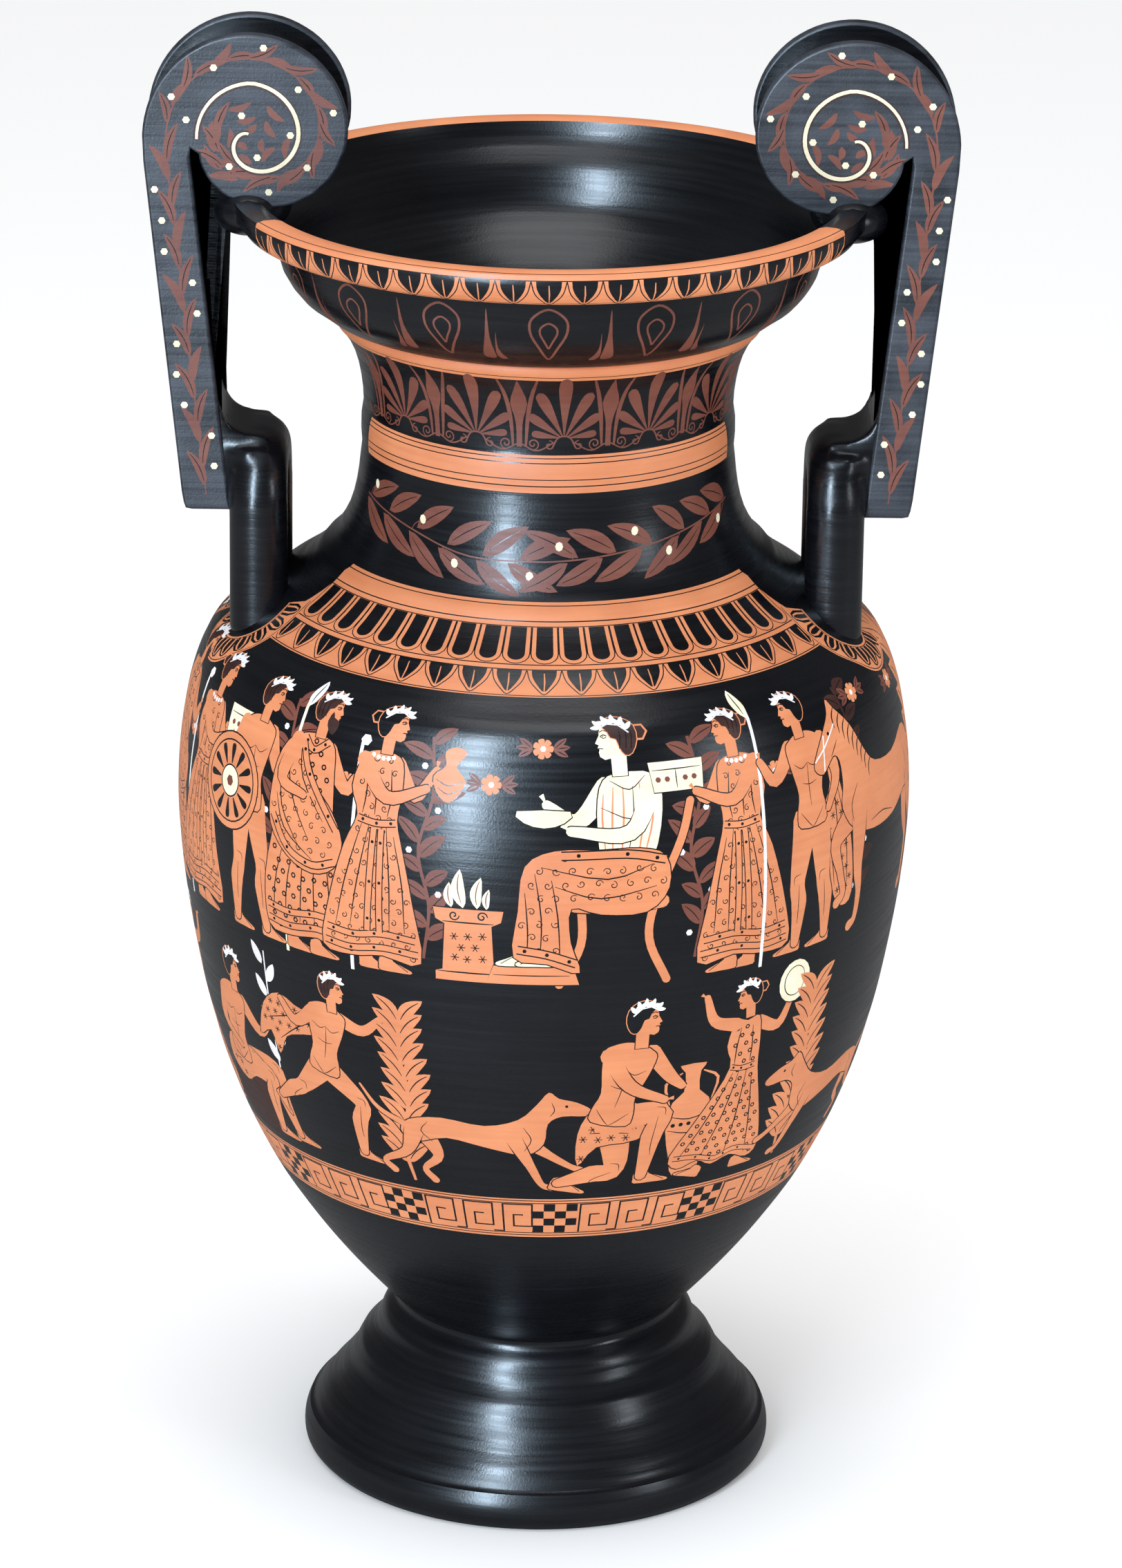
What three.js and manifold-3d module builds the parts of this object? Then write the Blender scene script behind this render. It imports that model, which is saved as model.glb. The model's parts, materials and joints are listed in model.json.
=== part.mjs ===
// Greek volute krater: a tall fired-clay mixing bowl on a moulded foot, with a flaring neck,
// two loop handles on the shoulder and two flanged volute handles that rise above the lip.
// The whole pot is one ceramic piece, so it is one hollow solid. Millimetres, +Z up; the
// origin is on the ground under the middle of the foot, and the handles lie along X.

import * as THREE from 'three';
import { mergeVertices } from 'three/addons/utils/BufferGeometryUtils.js';
import Module from 'manifold-3d';

// ---- driving dimensions ----
const ROUND_SEGMENTS = 48;

// foot: [radius, height] from the resting ring up to the stem
const FOOT = [
  [116, 0], [119.4, 4], [120.2, 9], [119.6, 14], [117.5, 19.5], [114, 22.6],
  [108, 30], [99.6, 40.4], [95.6, 46], [93.4, 51], [90.8, 56],
  [85.4, 61.5], [80.8, 68], [77.6, 74.5], [73.8, 79],
];
// body: from the stem out to the belly and in again to the shoulder
const BODY = [
  [73, 83.9], [87.6, 99.9], [101, 115.5], [113.5, 131.5], [124.8, 147.6], [134.8, 163.2],
  [150.8, 195.2], [162.5, 226.9], [170.9, 258.6], [176.9, 290.2], [181.4, 322.2],
  [183.7, 353.9], [182.4, 385.6], [176.9, 417.6], [171.3, 433.3], [165.4, 443.4],
];
// shoulder and neck: a hollow sweep up into a flaring mouth
const NECK = [
  [156.2, 450.2], [146.5, 457.5], [136, 466.3], [124, 474.3], [112.5, 484], [103.9, 494],
  [98.3, 504.3], [94.6, 517.5], [92, 538], [91.3, 559], [92.5, 574.5], [98.5, 593.7],
  [103.6, 601], [104.4, 606.6],
];
// mouth: the rounded moulding under the lip, then the upright lip with its flat top
const MOUTH = [
  [109.4, 607.6], [116.5, 612.8], [127.8, 623.3], [133.6, 637.2], [137.7, 650.4],
  [151.4, 650.8], [156.6, 666],
];

const WALL = 9;                 // wall of the body and neck
const LIP_TOP = 666;            // height of the lip's flat top
const LIP_INNER_RADIUS = 142.7; // inner edge of the lip's flat top
const FLOOR = { height: 92, flat: 50, rise: 4, corner: 26 };  // inside floor of the bowl
const MOUTH_INSIDE = [[132, 652], [141.2, 661]];              // hollow behind the lip
const RECESS = [                // hollow under the foot
  [99, 0], [94, 14], [82, 34], [66, 50], [40, 60], [0, 63],
];

// volute handle, drawn in the plane of the handles (X across, Z up)
const STRAP = {
  width: 52, flange: 8, groove: 6,
  bottom: 509, top: 690,
  outerBottom: 179, outerTop: 198, face: 23,
};
const VOLUTE = { x: 145, z: 696, outer: 53, top: 52, inner: 47, under: 33, end: 25.5 };
const SCROLL_STEPS = { segments: 26, lastTurn: 0.96, fadeEnd: 0.75, fadeLength: 0.2 };
const PAD = { x: 147, z: 659, reach: 20, depth: 34, height: 15 };

// loop handle: a round bar bent over from front to back on each shoulder
const LOOP = { x: 142, halfSpan: 27, radius: 14.5, top: 548, bottom: 440, bend: 20 };
const BRIDGE = { low: 512, high: 547, fillet: 564, run: 16, overlap: 4, depth: 50 };

// ---- small helpers ----
const wasm = await Module();
wasm.setup();

function toSolid(geometry) {
  geometry.deleteAttribute('normal');
  geometry.deleteAttribute('uv');
  const merged = mergeVertices(geometry, 1e-3);
  const index = merged.index.array;
  const kept = [];
  for (let i = 0; i < index.length; i += 3) {
    const [a, b, c] = [index[i], index[i + 1], index[i + 2]];
    if (a !== b && b !== c && c !== a) kept.push(a, b, c);
  }
  const vertProperties = new Float32Array(merged.attributes.position.array);
  const build = (list) => new wasm.Manifold(
    new wasm.Mesh({ numProp: 3, vertProperties, triVerts: new Uint32Array(list) }));
  const solid = build(kept);
  if (solid.volume() > 0) return solid;
  for (let i = 0; i < kept.length; i += 3) [kept[i], kept[i + 1]] = [kept[i + 1], kept[i]];
  return build(kept);
}

function toGeometry(solid) {
  const mesh = solid.getMesh();
  const geometry = new THREE.BufferGeometry();
  geometry.setAttribute('position', new THREE.BufferAttribute(mesh.vertProperties, 3));
  geometry.setIndex(new THREE.BufferAttribute(mesh.triVerts, 1));
  geometry.computeVertexNormals();
  return geometry;
}

// a solid of revolution about Z from [radius, height] pairs
function turned(profile) {
  const points = profile.map(([r, z]) => new THREE.Vector2(r, z));
  const geometry = new THREE.LatheGeometry(points, ROUND_SEGMENTS);
  geometry.rotateX(Math.PI / 2);
  return toSolid(geometry);
}

// an outline in X and Z, carried along Y from y0 to y1
function plate(outline, y0, y1) {
  const shape = new THREE.Shape(outline.map(([x, z]) => new THREE.Vector2(x, z)));
  const geometry = new THREE.ExtrudeGeometry(shape, { depth: y1 - y0, bevelEnabled: false });
  geometry.rotateX(Math.PI / 2);
  geometry.translate(0, y1, 0);
  return toSolid(geometry);
}

// ---- the turned vessel ----
function outerProfile() {
  return [[0, 0], ...FOOT, ...BODY, ...NECK, ...MOUTH, [0, LIP_TOP]];
}

// the wall's inner side: every second station of the outer profile, moved in by the wall
// square to its slope
function innerWall() {
  const outer = [...BODY, ...NECK, ...MOUTH.slice(0, 4)].filter((_, i) => i % 2 === 0);
  const inner = [];
  for (let i = 1; i < outer.length; i += 1) {
    const before = outer[i - 1];
    const after = outer[Math.min(i + 1, outer.length - 1)];
    const dr = after[0] - before[0];
    const dz = after[1] - before[1];
    const length = Math.hypot(dr, dz);
    inner.push([outer[i][0] - (WALL * dz) / length, outer[i][1] + (WALL * dr) / length]);
  }
  return inner.filter(([, z]) => z > FLOOR.height + FLOOR.rise);
}

function cavity() {
  const wall = innerWall();
  return turned([
    [0, FLOOR.height], [FLOOR.flat, FLOOR.height + FLOOR.rise / 4],
    [wall[0][0] - FLOOR.corner, FLOOR.height + FLOOR.rise], ...wall,
    ...MOUTH_INSIDE, [LIP_INNER_RADIUS, LIP_TOP],
    [LIP_INNER_RADIUS, LIP_TOP + 20], [0, LIP_TOP + 20],
  ]);
}

// the bowl's inside without its mouth, which keeps the handle roots out of the bowl
function innerRoom() {
  const wall = innerWall();
  return turned([[0, wall[0][1]], ...wall, [0, wall[wall.length - 1][1]]]);
}

function footRecess() {
  return turned([[0, -10], [RECESS[0][0], -10], ...RECESS]);
}

// ---- the volute handle on the +X side ----
function voluteRadius(turn) {
  // turn runs 0..1 once round the scroll, from the strap's outer edge to its inner edge
  const stations = [VOLUTE.outer, VOLUTE.top, VOLUTE.inner, VOLUTE.under, VOLUTE.end];
  const at = Math.min(turn, 0.9999) * 4;
  const k = Math.floor(at);
  return THREE.MathUtils.lerp(stations[k], stations[k + 1], at - k);
}

// X of the strap's inner edge at a height: the strap leans outwards as it climbs
function strapInner(z) {
  const climb = (z - STRAP.bottom) / (STRAP.top - STRAP.bottom);
  return THREE.MathUtils.lerp(STRAP.outerBottom, STRAP.outerTop, climb) - STRAP.face;
}

// the strap and scroll from the front; outerInset draws the outer side in, and fades out
// under the scroll, where the two sides of the strap meet
function strapOutline(outerInset) {
  const outline = [
    [strapInner(STRAP.bottom), STRAP.bottom],
    [STRAP.outerBottom - outerInset, STRAP.bottom],
  ];
  const { segments, lastTurn, fadeEnd, fadeLength } = SCROLL_STEPS;
  for (let i = 0; i <= segments; i += 1) {
    const turn = (i / segments) * lastTurn;
    const fade = THREE.MathUtils.clamp((fadeEnd - turn) / fadeLength, 0, 1);
    const r = voluteRadius(turn) - outerInset * fade;
    const a = turn * 2 * Math.PI;
    outline.push([VOLUTE.x + r * Math.cos(a), VOLUTE.z + r * Math.sin(a)]);
  }
  outline.push([strapInner(STRAP.top), STRAP.top - 1]);
  return outline;
}

function voluteHandle() {
  const half = STRAP.width / 2;
  const flange = strapOutline(0);
  const web = strapOutline(STRAP.groove);
  return plate(web, -half + STRAP.flange - 1, half - STRAP.flange + 1)
    .add(plate(flange, half - STRAP.flange, half))
    .add(plate(flange, -half, -half + STRAP.flange));
}

// a rounded lump of clay that fixes the scroll to the lip
function lipPad() {
  const geometry = new THREE.SphereGeometry(1, 16, 8);
  geometry.scale(PAD.reach, PAD.depth, PAD.height);
  geometry.translate(PAD.x, 0, PAD.z);
  return toSolid(geometry);
}

// ---- the loop handle on the +X side ----
function loopHandle() {
  const { x, halfSpan, radius, top, bottom, bend } = LOOP;
  const crown = top - radius;
  const path = new THREE.CurvePath();
  const at = (y, z) => new THREE.Vector3(x, y, z);
  path.add(new THREE.LineCurve3(at(-halfSpan, bottom), at(-halfSpan, crown - bend)));
  path.add(new THREE.QuadraticBezierCurve3(
    at(-halfSpan, crown - bend), at(-halfSpan, crown), at(-halfSpan + bend, crown)));
  path.add(new THREE.LineCurve3(at(-halfSpan + bend, crown), at(halfSpan - bend, crown)));
  path.add(new THREE.QuadraticBezierCurve3(
    at(halfSpan - bend, crown), at(halfSpan, crown), at(halfSpan, crown - bend)));
  path.add(new THREE.LineCurve3(at(halfSpan, crown - bend), at(halfSpan, bottom)));
  const section = new THREE.Shape();
  section.absarc(0, 0, radius, 0, 2 * Math.PI);
  return toSolid(new THREE.ExtrudeGeometry(section, {
    steps: 26, curveSegments: 6, bevelEnabled: false, extrudePath: path,
  }));
}

// the clay between the loop's crossbar and the foot of the strap. Its upper side is a hollow
// curve from the strap down to the crossbar.
function bridge() {
  const { low, high, fillet, run, overlap, depth } = BRIDGE;
  const edge = strapInner(fillet);
  const curve = [1, 2, 3, 4].map((k) => {
    const a = (k / 4) * (Math.PI / 2);
    return [edge - run * (1 - Math.cos(a)), fillet - (fillet - high) * Math.sin(a)];
  });
  const inner = LOOP.x - overlap;
  const outer = strapInner(low) + STRAP.flange;
  const outline = [
    [inner, low], [outer, low], [edge + overlap, fillet], [edge, fillet], ...curve,
    [inner, high],
  ];
  return plate(outline, -depth / 2, depth / 2);
}

function handlesOnOneSide() {
  return voluteHandle().add(lipPad()).add(loopHandle()).add(bridge());
}

// ---- the whole pot ----
function krater() {
  const right = handlesOnOneSide().subtract(innerRoom());
  const left = right.rotate([0, 0, 180]);
  const vessel = turned(outerProfile()).subtract(cavity()).subtract(footRecess());
  return vessel.add(right).add(left);
}

const blackSlip = new THREE.MeshStandardMaterial({
  color: 0x15151a, roughness: 0.38, metalness: 0,
});
const pot = new THREE.Mesh(toGeometry(krater()), blackSlip);
pot.name = 'krater';

const root = new THREE.Group();
root.add(pot);
export default root;
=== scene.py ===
# %% [markdown]
# # A Greek volute krater
# A krater is a large bowl for mixing wine and water. This one is the volute kind: two flanged
# handles climb from the shoulder and curl into scrolls above the lip. A potter throws it in
# sections (foot, belly, neck with mouth), joins them with wet clay and adds the handles. Then
# the painter fills the ground with black slip and leaves figures and bands in the orange of
# the clay. The same order is followed here: turn the sections, paint them, join the handles.

# %% Load the solid pot that everything is fitted to
import json
import math
import random

import bmesh
import bpy
import numpy as np
from mathutils import Matrix, Vector
from mathutils.geometry import delaunay_2d_cdt

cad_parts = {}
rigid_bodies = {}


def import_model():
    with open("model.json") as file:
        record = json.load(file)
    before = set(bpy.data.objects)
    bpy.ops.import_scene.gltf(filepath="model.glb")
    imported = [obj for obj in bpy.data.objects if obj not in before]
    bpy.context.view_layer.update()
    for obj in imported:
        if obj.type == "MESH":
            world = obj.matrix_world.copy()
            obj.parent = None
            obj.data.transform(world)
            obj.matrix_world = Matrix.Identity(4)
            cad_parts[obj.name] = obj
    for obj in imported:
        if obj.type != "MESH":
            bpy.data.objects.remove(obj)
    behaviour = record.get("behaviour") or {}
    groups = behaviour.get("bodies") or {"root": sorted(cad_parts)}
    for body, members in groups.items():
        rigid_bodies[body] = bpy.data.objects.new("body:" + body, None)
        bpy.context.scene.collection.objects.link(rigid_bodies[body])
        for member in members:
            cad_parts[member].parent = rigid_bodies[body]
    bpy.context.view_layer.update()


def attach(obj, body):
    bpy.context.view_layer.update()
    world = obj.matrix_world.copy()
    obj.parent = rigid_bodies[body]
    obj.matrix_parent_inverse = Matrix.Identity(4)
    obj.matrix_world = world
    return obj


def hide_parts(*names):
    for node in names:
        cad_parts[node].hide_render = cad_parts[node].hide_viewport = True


for leftover in list(bpy.data.objects):
    bpy.data.objects.remove(leftover)
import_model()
MM = 0.001

def linked(name, data):
    """A new object in the scene that shows this data."""
    obj = bpy.data.objects.new(name, data)
    bpy.context.scene.collection.objects.link(obj)
    return obj


def unit_rows(vectors, tiny=0.0):
    """Each row scaled to length one."""
    return vectors / (np.linalg.norm(vectors, axis=1)[:, None] + tiny)


def steps_along(points):
    """Distance along a line of points, at each of them."""
    return np.concatenate([[0], np.cumsum(np.hypot(*np.diff(points, axis=0).T))])


# %% [markdown]
# ## The profile
# Everything turned on a wheel follows one curve of radius against height. The stations below
# are in millimetres. They are grouped where the real pot has a crease, and each group is drawn
# as one smooth curve, so creases stay crisp and the rest stays round.

# %% Stations of the outer profile
FOOT_RING = [(116, 0), (119.4, 4), (120.2, 9), (119.6, 14), (117.5, 19.5)]
FOOT_STEP = [(117.5, 19.5), (115.2, 20.8), (114, 22.9)]
FOOT_SWEEP = [(114, 22.9), (112.4, 25), (108.6, 30), (104.2, 35), (99.9, 40.4), (95.8, 46),
              (93.4, 51), (90.8, 56)]
FOOT_UPPER = [(90.8, 56), (88.6, 58.2), (85.4, 61.5), (82.7, 65), (81.2, 68.2)]
FOOT_BEAD = [(81.2, 68.2), (80.6, 70.5), (79.4, 73.2), (77.4, 75.8), (73.8, 79)]
STEM = [(73.8, 79), (72.6, 81.2), (73, 83.9)]
BODY = [(73, 83.9), (87.6, 99.9), (101, 115.5), (113.5, 131.5), (124.8, 147.6), (134.8, 163.2),
        (143.3, 179.2), (150.8, 195.2), (157, 210.9), (162.5, 226.9), (166.9, 242.9),
        (170.9, 258.6), (174.1, 274.6), (176.9, 290.2), (179.4, 306.2), (181.4, 322.2),
        (182.8, 337.9), (183.7, 353.9), (183.5, 369.9), (182.4, 385.6), (180.2, 401.6),
        (176.9, 417.6), (171.3, 433.3), (165.4, 443.4), (156.2, 450.2), (146.5, 457.5),
        (136, 466.3), (124, 474.3), (112.5, 484), (103.9, 494), (98.3, 504.3), (94.6, 517.5),
        (92.6, 532.8), (91.5, 543.2), (91.3, 553.7), (91.3, 564.1), (92.5, 574.5), (94.9, 585),
        (98.5, 593.7), (103.2, 600.6)]
RING = [(103.2, 600.6), (104.6, 601.6), (105, 604), (104.8, 606.2), (104.2, 607)]
ECHINUS = [(104.2, 607), (109.4, 607.9), (112.8, 609.8), (116.5, 612.8), (123.6, 618),
           (127.8, 623.3), (131.6, 630.2), (133.6, 637.2), (135.6, 644.1), (137.7, 650.4)]
LIP_UNDER = [(137.7, 650.4), (150.6, 650.6)]
LIP_FACE = [(150.6, 650.6), (151.5, 651.2), (156.1, 664.8), (155.8, 665.7)]
LIP_TOP = [(155.8, 665.7), (155, 666), (144, 666), (142.9, 665.6)]


def smooth(stations, step=2.5):
    """A monotone-tangent curve through the stations, as dense points."""
    p = np.array(stations, float)
    t = steps_along(p)
    slope = np.diff(p, axis=0) / np.diff(t)[:, None]
    m = np.zeros_like(p)
    m[0], m[-1] = slope[0], slope[-1]
    if len(p) > 2:
        h = np.diff(t)[:, None]
        m[1:-1] = (slope[:-1] * h[1:] + slope[1:] * h[:-1]) / (h[1:] + h[:-1])
    n = max(1, int(round(t[-1] / step)))
    out = []
    for x in np.linspace(0, t[-1], n + 1):
        k = min(np.searchsorted(t, x, "right") - 1, len(p) - 2)
        h = t[k + 1] - t[k]
        q = (x - t[k]) / h
        out.append((2 * q**3 - 3 * q**2 + 1) * p[k] + (q**3 - 2 * q**2 + q) * h * m[k]
                   + (3 * q**2 - 2 * q**3) * p[k + 1] + (q**3 - q**2) * h * m[k + 1])
    return np.array(out)


# %% [markdown]
# Two raised bands ride on the neck and the shoulder. They are low half-round swellings of the
# wall, so they are added to the curve and not modelled as loose rings.

# %% The wall as one curve, and where along it each height lies
def swell(points, low, high, height):
    """Push the wall out between two heights, most in the middle."""
    z = points[:, 1]
    q = np.clip((z - low) / (high - low), 0, 1)
    amount = height * np.sqrt(np.clip(np.sin(np.pi * q), 0, 1))
    d = unit_rows(np.gradient(points, axis=0))
    return points + np.stack([d[:, 1], -d[:, 0]], 1) * amount[:, None]


wall = smooth(BODY, 2.0)
wall = swell(wall, 541, 558, 1.1)
wall = swell(wall, 482.7, 488.5, 1.0)
SECTIONS = [wall] + [smooth(s, 1.6) for s in (RING, ECHINUS, LIP_UNDER, LIP_FACE, LIP_TOP)]
profile, starts = [], []
for part in SECTIONS:
    starts.append(len(profile))
    profile += list(part)
profile = np.array(profile)
along = steps_along(profile)
section_ends = [along[i] for i in starts[1:]] + [along[-1]]


def at_height(z):
    """Distance along the wall curve where the body or neck reaches this height."""
    n = len(wall)
    return float(np.interp(z, wall[:, 1], along[:n]))


V_START = at_height(163)
V_FRIEZE = at_height(455.7)
V_RING = section_ends[0]
V_ECHINUS = section_ends[1]
V_UNDER = section_ends[2]
V_FACE = section_ends[3]
V_TOP = section_ends[4]
V_END = section_ends[5]
PALMETTES, NECK_BAND, MEANDER = (560, 600), (540, 559), (171, 196.5)   # heights, bottom and top
LAUREL, FIGURES = 516, 197      # heights of the laurel's stem and of the lower ground line
print("painted wall:", round(V_END - V_START), "mm of curve")

# %% [markdown]
# ## Paint that lies in the surface
# Slip is a few hundredths of a millimetre thick, so paint must not stand up from the pot. Every
# brush mark is a flat outline in the unrolled wall: angle across, distance along the curve
# upwards. A constrained Delaunay triangulation cuts the wall along all the outlines at once.
# Each triangle takes the colour of the topmost mark over it, and then the flat sheet is
# wrapped back on to the profile. Edges stay sharp at any distance, with no images.

# %% The colours in the painter's pots
# The last colour, a lighter grey-blue slip, is painted sheen: the soft reflection on the flat
# flange plates.
BLACK, ORANGE, RED, CREAM, WHITE, DARK, PAINTED_SHEEN = range(7)
UNROLL = 150.0   # millimetres per radian in the unrolled sheet


def thinned(pts, slack=.035, reach=5.0):
    """An outline without the points that lie almost on a line between their neighbours."""
    keep = [0]
    for i in range(1, len(pts) - 1):
        d = pts[i + 1] - pts[keep[-1]]
        long = math.hypot(*d) + 1e-9
        off = pts[keep[-1] + 1:i + 1] - pts[keep[-1]]
        if long > reach or np.abs(d[0] * off[:, 1] - d[1] * off[:, 0]).max() > slack * long:
            keep.append(i)
    return pts[keep + [len(pts) - 1]] if len(pts) > 6 else pts


class Sheet:
    """The unrolled wall of one section, with the marks painted on it so far."""

    def __init__(self, low, high):
        self.low, self.high = low, high
        self.marks = []

    def add(self, u, v, colour):
        pts = thinned(np.stack([u, v], 1))
        nxt = np.roll(pts, -1, axis=0)
        size = np.hypot(*(nxt - pts).T)
        if len(pts) > 2 and size.max() > 6:
            dense = []
            for a, b, s in zip(pts, nxt, size):
                k = max(1, int(math.ceil(s / 6)))
                dense += [a + (b - a) * i / k for i in range(k)]
            pts = np.array(dense)
        self.marks.append((colour, pts))


class Brush:
    """Draws in a small flat frame: x to the right and y up the wall, in millimetres."""

    def __init__(self, sheet):
        self.sheet = sheet
        self.at(0, 0)

    def at(self, phi, v, size=1.0, flip=1, radial=False):
        self.phi, self.v, self.size, self.flip = math.radians(phi), v, size, flip
        self.radial = radial

    def shape(self, pts, colour):
        p = np.asarray(pts, float) * self.size
        v = self.v + p[:, 1]
        where = np.full(len(v), self.v) if self.radial else v
        r = np.interp(where, along, profile[:, 0])
        self.sheet.add((self.phi + self.flip * p[:, 0] / r) * UNROLL, v, colour)

    def line(self, pts, width, colour, taper=0.0):
        p = np.asarray(pts, float)
        d = unit_rows(np.gradient(p, axis=0), 1e-9)
        n = np.stack([-d[:, 1], d[:, 0]], 1)
        q = np.linspace(-1, 1, len(p))
        w = width / 2 * (1 - taper * q**2)[:, None]
        self.shape(np.concatenate([p + n * w, (p - n * w)[::-1]]), colour)


def band(sheet, phi0, phi1, v0, v1, colour):
    """A plain horizontal band between two angles, in degrees."""
    u0, u1 = math.radians(phi0) * UNROLL, math.radians(phi1) * UNROLL
    sheet.add(np.array([u0, u1, u1, u0]), np.array([v0, v0, v1, v1]), colour)


def slanted(sheet, centre, low, high, v0, v1, colour):
    """A band whose two ends lean: half-widths low and high in degrees at its two edges."""
    u = [math.radians(centre + a) * UNROLL for a in (-low, low, high, -high)]
    sheet.add(np.array(u), np.array([v0, v0, v1, v1]), colour)


def covers(mark, points):
    """Which points a closed outline winds round."""
    a, b = mark[:, None, :], np.roll(mark, -1, 0)[:, None, :]
    p = np.asarray(points, float)[None]
    side = ((b[..., 0] - a[..., 0]) * (p[..., 1] - a[..., 1])
            - (p[..., 0] - a[..., 0]) * (b[..., 1] - a[..., 1]))
    up = (a[..., 1] <= p[..., 1]) & (b[..., 1] > p[..., 1]) & (side > 0)
    down = (a[..., 1] > p[..., 1]) & (b[..., 1] <= p[..., 1]) & (side < 0)
    return (up.sum(0) - down.sum(0)) != 0


def curve(pts, n=6, closed=False):
    """A Catmull-Rom curve through a few points."""
    p = np.asarray(pts, float)
    p = np.vstack([p[-1], p, p[0], p[1]]) if closed else np.vstack(
        [2 * p[0] - p[1], p, 2 * p[-1] - p[-2]])
    out = []
    for a, b, c, d in zip(p, p[1:], p[2:], p[3:]):
        for t in np.arange(n) / n:
            out.append(0.5 * (2 * b + (c - a) * t + (2 * a - 5 * b + 4 * c - d) * t * t
                              + (3 * b - a - 3 * c + d) * t**3))
    if not closed:
        out.append(p[-2])
    return np.array(out)


print("colours:", PAINTED_SHEEN + 1, "unrolled at", UNROLL, "mm per radian")

# %% [markdown]
# ## Repeating ornament
# Each motif is drawn once in its own small frame and stamped round the pot. The stamped marks
# widen with the wall, so tongues fan out over the shoulder exactly as brushed ones do.

# %% Motifs: egg, tongue, drop, bud, leaf, scroll, palmette and lotus
def both_sides(left, tip):
    """An outline that runs down one side to its tip and back up the other."""
    return left + [tip] + [(-x, y) for x, y in left[::-1]]


def egg(b, w, h):
    """A black pointed egg with a split centre, inside a thin line. The top sits at y 0."""
    e = w * .36
    b.line(curve(both_sides([(-w * .5, 0), (-w * .40, -h * .45), (-w * .2, -h * .8)],
                            (0, -h * 1.04)), 3), .55, BLACK)
    b.shape(curve(both_sides([(-e, 0), (-e * .92, -h * .3), (-e * .5, -h * .66)],
                             (0, -h * .92)), 3), BLACK)
    b.line([(0, -h * .14), (w * .015, -h * .5), (0, -h * .95)], .75, ORANGE, .4)


def tongue(b, w, h):
    """A long black tongue with a round end and a thin line round it. The top sits at y 0."""
    a = np.linspace(math.pi, 2 * math.pi, 9)
    for half, colour in ((w * .5, BLACK), (w * .46, ORANGE), (w * .31, BLACK)):
        low = -(h - w * .5)
        arc = np.stack([half * np.cos(a), low + half * np.sin(a)], 1)
        b.shape(np.vstack([[-half, 0], arc, [half, 0]]), colour)


def drop(b, w, h):
    """A teardrop hanging point down, drawn twice, one inside the other."""
    for k, wide in ((1.0, 1.25), (.46, 1.0)):
        loop = curve([(0, -h * .5), (-w * .22, -h * .2), (-w * .46, h * .1), (-w * .42, h * .32),
                      (0, h * .47), (w * .42, h * .32), (w * .46, h * .1), (w * .22, -h * .2),
                      (.2, -h * .5)], 4)
        b.line(loop * k + [0, h * .06 * (1 - k)], wide, RED)


def bud(b, h):
    """Two strokes of one brush: a thin stalk and a fat one that lean together."""
    b.shape(curve([(-h * .10, h), (-h * .14, h * .55), (-h * .20, h * .1), (-h * .08, 0),
                   (-h * .02, h * .1), (-h * .07, h * .5)], 4, True), RED)
    b.shape(curve([(h * .02, h * .62), (h * .03, h * .3), (h * .13, h * .02), (h * .04, 0),
                   (-h * .01, h * .2)], 4, True), RED)


def leaf(b, x, y, angle, length, width, colour=RED, rib=BLACK, bend=.12):
    """A pointed leaf from its stalk at (x, y), with a dark midrib."""
    t = np.linspace(0, 1, 9)
    w = width / 2 * np.sin(np.pi * t**.85) ** .8 + .12
    mid = np.stack([t * length, bend * length * np.sin(np.pi * t)], 1)
    edge = np.vstack([mid + np.stack([0 * w, w], 1), (mid - np.stack([0 * w, w], 1))[-2:0:-1]])
    c, s = math.cos(angle), math.sin(angle)
    turn = np.array([[c, s], [-s, c]])
    b.shape(edge @ turn + [x, y], colour)
    if rib is not None:
        b.line((mid[1:-1] @ turn + [x, y]), .5, rib, .5)


def scroll(b, x, y, r, turns, start, way, width=.8, colour=RED):
    a = np.linspace(0, turns * 2 * math.pi, max(8, int(turns * 12)))
    k = r * (1 - a / a[-1] * .85)
    b.line(np.stack([x + k * np.cos(start + way * a), y + k * np.sin(start + way * a)], 1),
           width, colour, .3)


def petal(b, x, y, angle, length, width, colour=RED):
    """A palmette leaf, narrow at the root and round at the tip."""
    t = np.append(np.linspace(0, .9, 8), [.96, 1])
    w = width / 2 * t**1.15 * np.sqrt(np.clip(1 - t**5, 0, 1)) + .3
    edge = np.vstack([np.stack([t * length, w], 1), np.stack([t * length, -w], 1)[::-1]])
    c, s = math.cos(angle), math.sin(angle)
    b.shape(edge @ np.array([[c, s], [-s, c]]) + [x, y], colour)


def palmette(b, h):
    """Seven leaves from a small heart, the middle one the longest."""
    for k in range(-3, 4):
        a = math.pi / 2 - k * math.radians(27)
        size = h * (.84, .66, .48, .33)[abs(k)]
        petal(b, h * .02 * k, h * .14 - h * .01 * abs(k), a, size,
              h * (.24, .20, .16, .12)[abs(k)])
    b.line(curve(both_sides([(-h * .14, -h * .02), (-h * .08, h * .1)], (0, h * .13)), 3), .8, RED)


def lotus(b, h):
    """A spear leaf between two thin leaves that lean out."""
    t = np.linspace(0, 1, 11)
    w = h * (.035 + .075 * np.exp(-((t - .62) / .2) ** 2)) * np.sqrt(1 - t**6)
    b.shape(np.vstack([np.stack([-w, t * h], 1), np.stack([w, t * h], 1)[::-1]]), RED)
    for side in (-1, 1):
        b.line(curve([(side * h * .08, 0), (side * h * .11, h * .4), (side * h * .17, h * .72),
                      (side * h * .26, h)], 4), h * .055, RED, .55)


print("motifs ready")

# %% The neck and mouth section: lip, echinus, palmettes, laurel, shoulder
neck = Sheet(V_FRIEZE, V_END)
pen = Brush(neck)
FACES = (0.0, 180.0)


def radius_at(v):
    return float(np.interp(v, along, profile[:, 0]))


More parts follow.
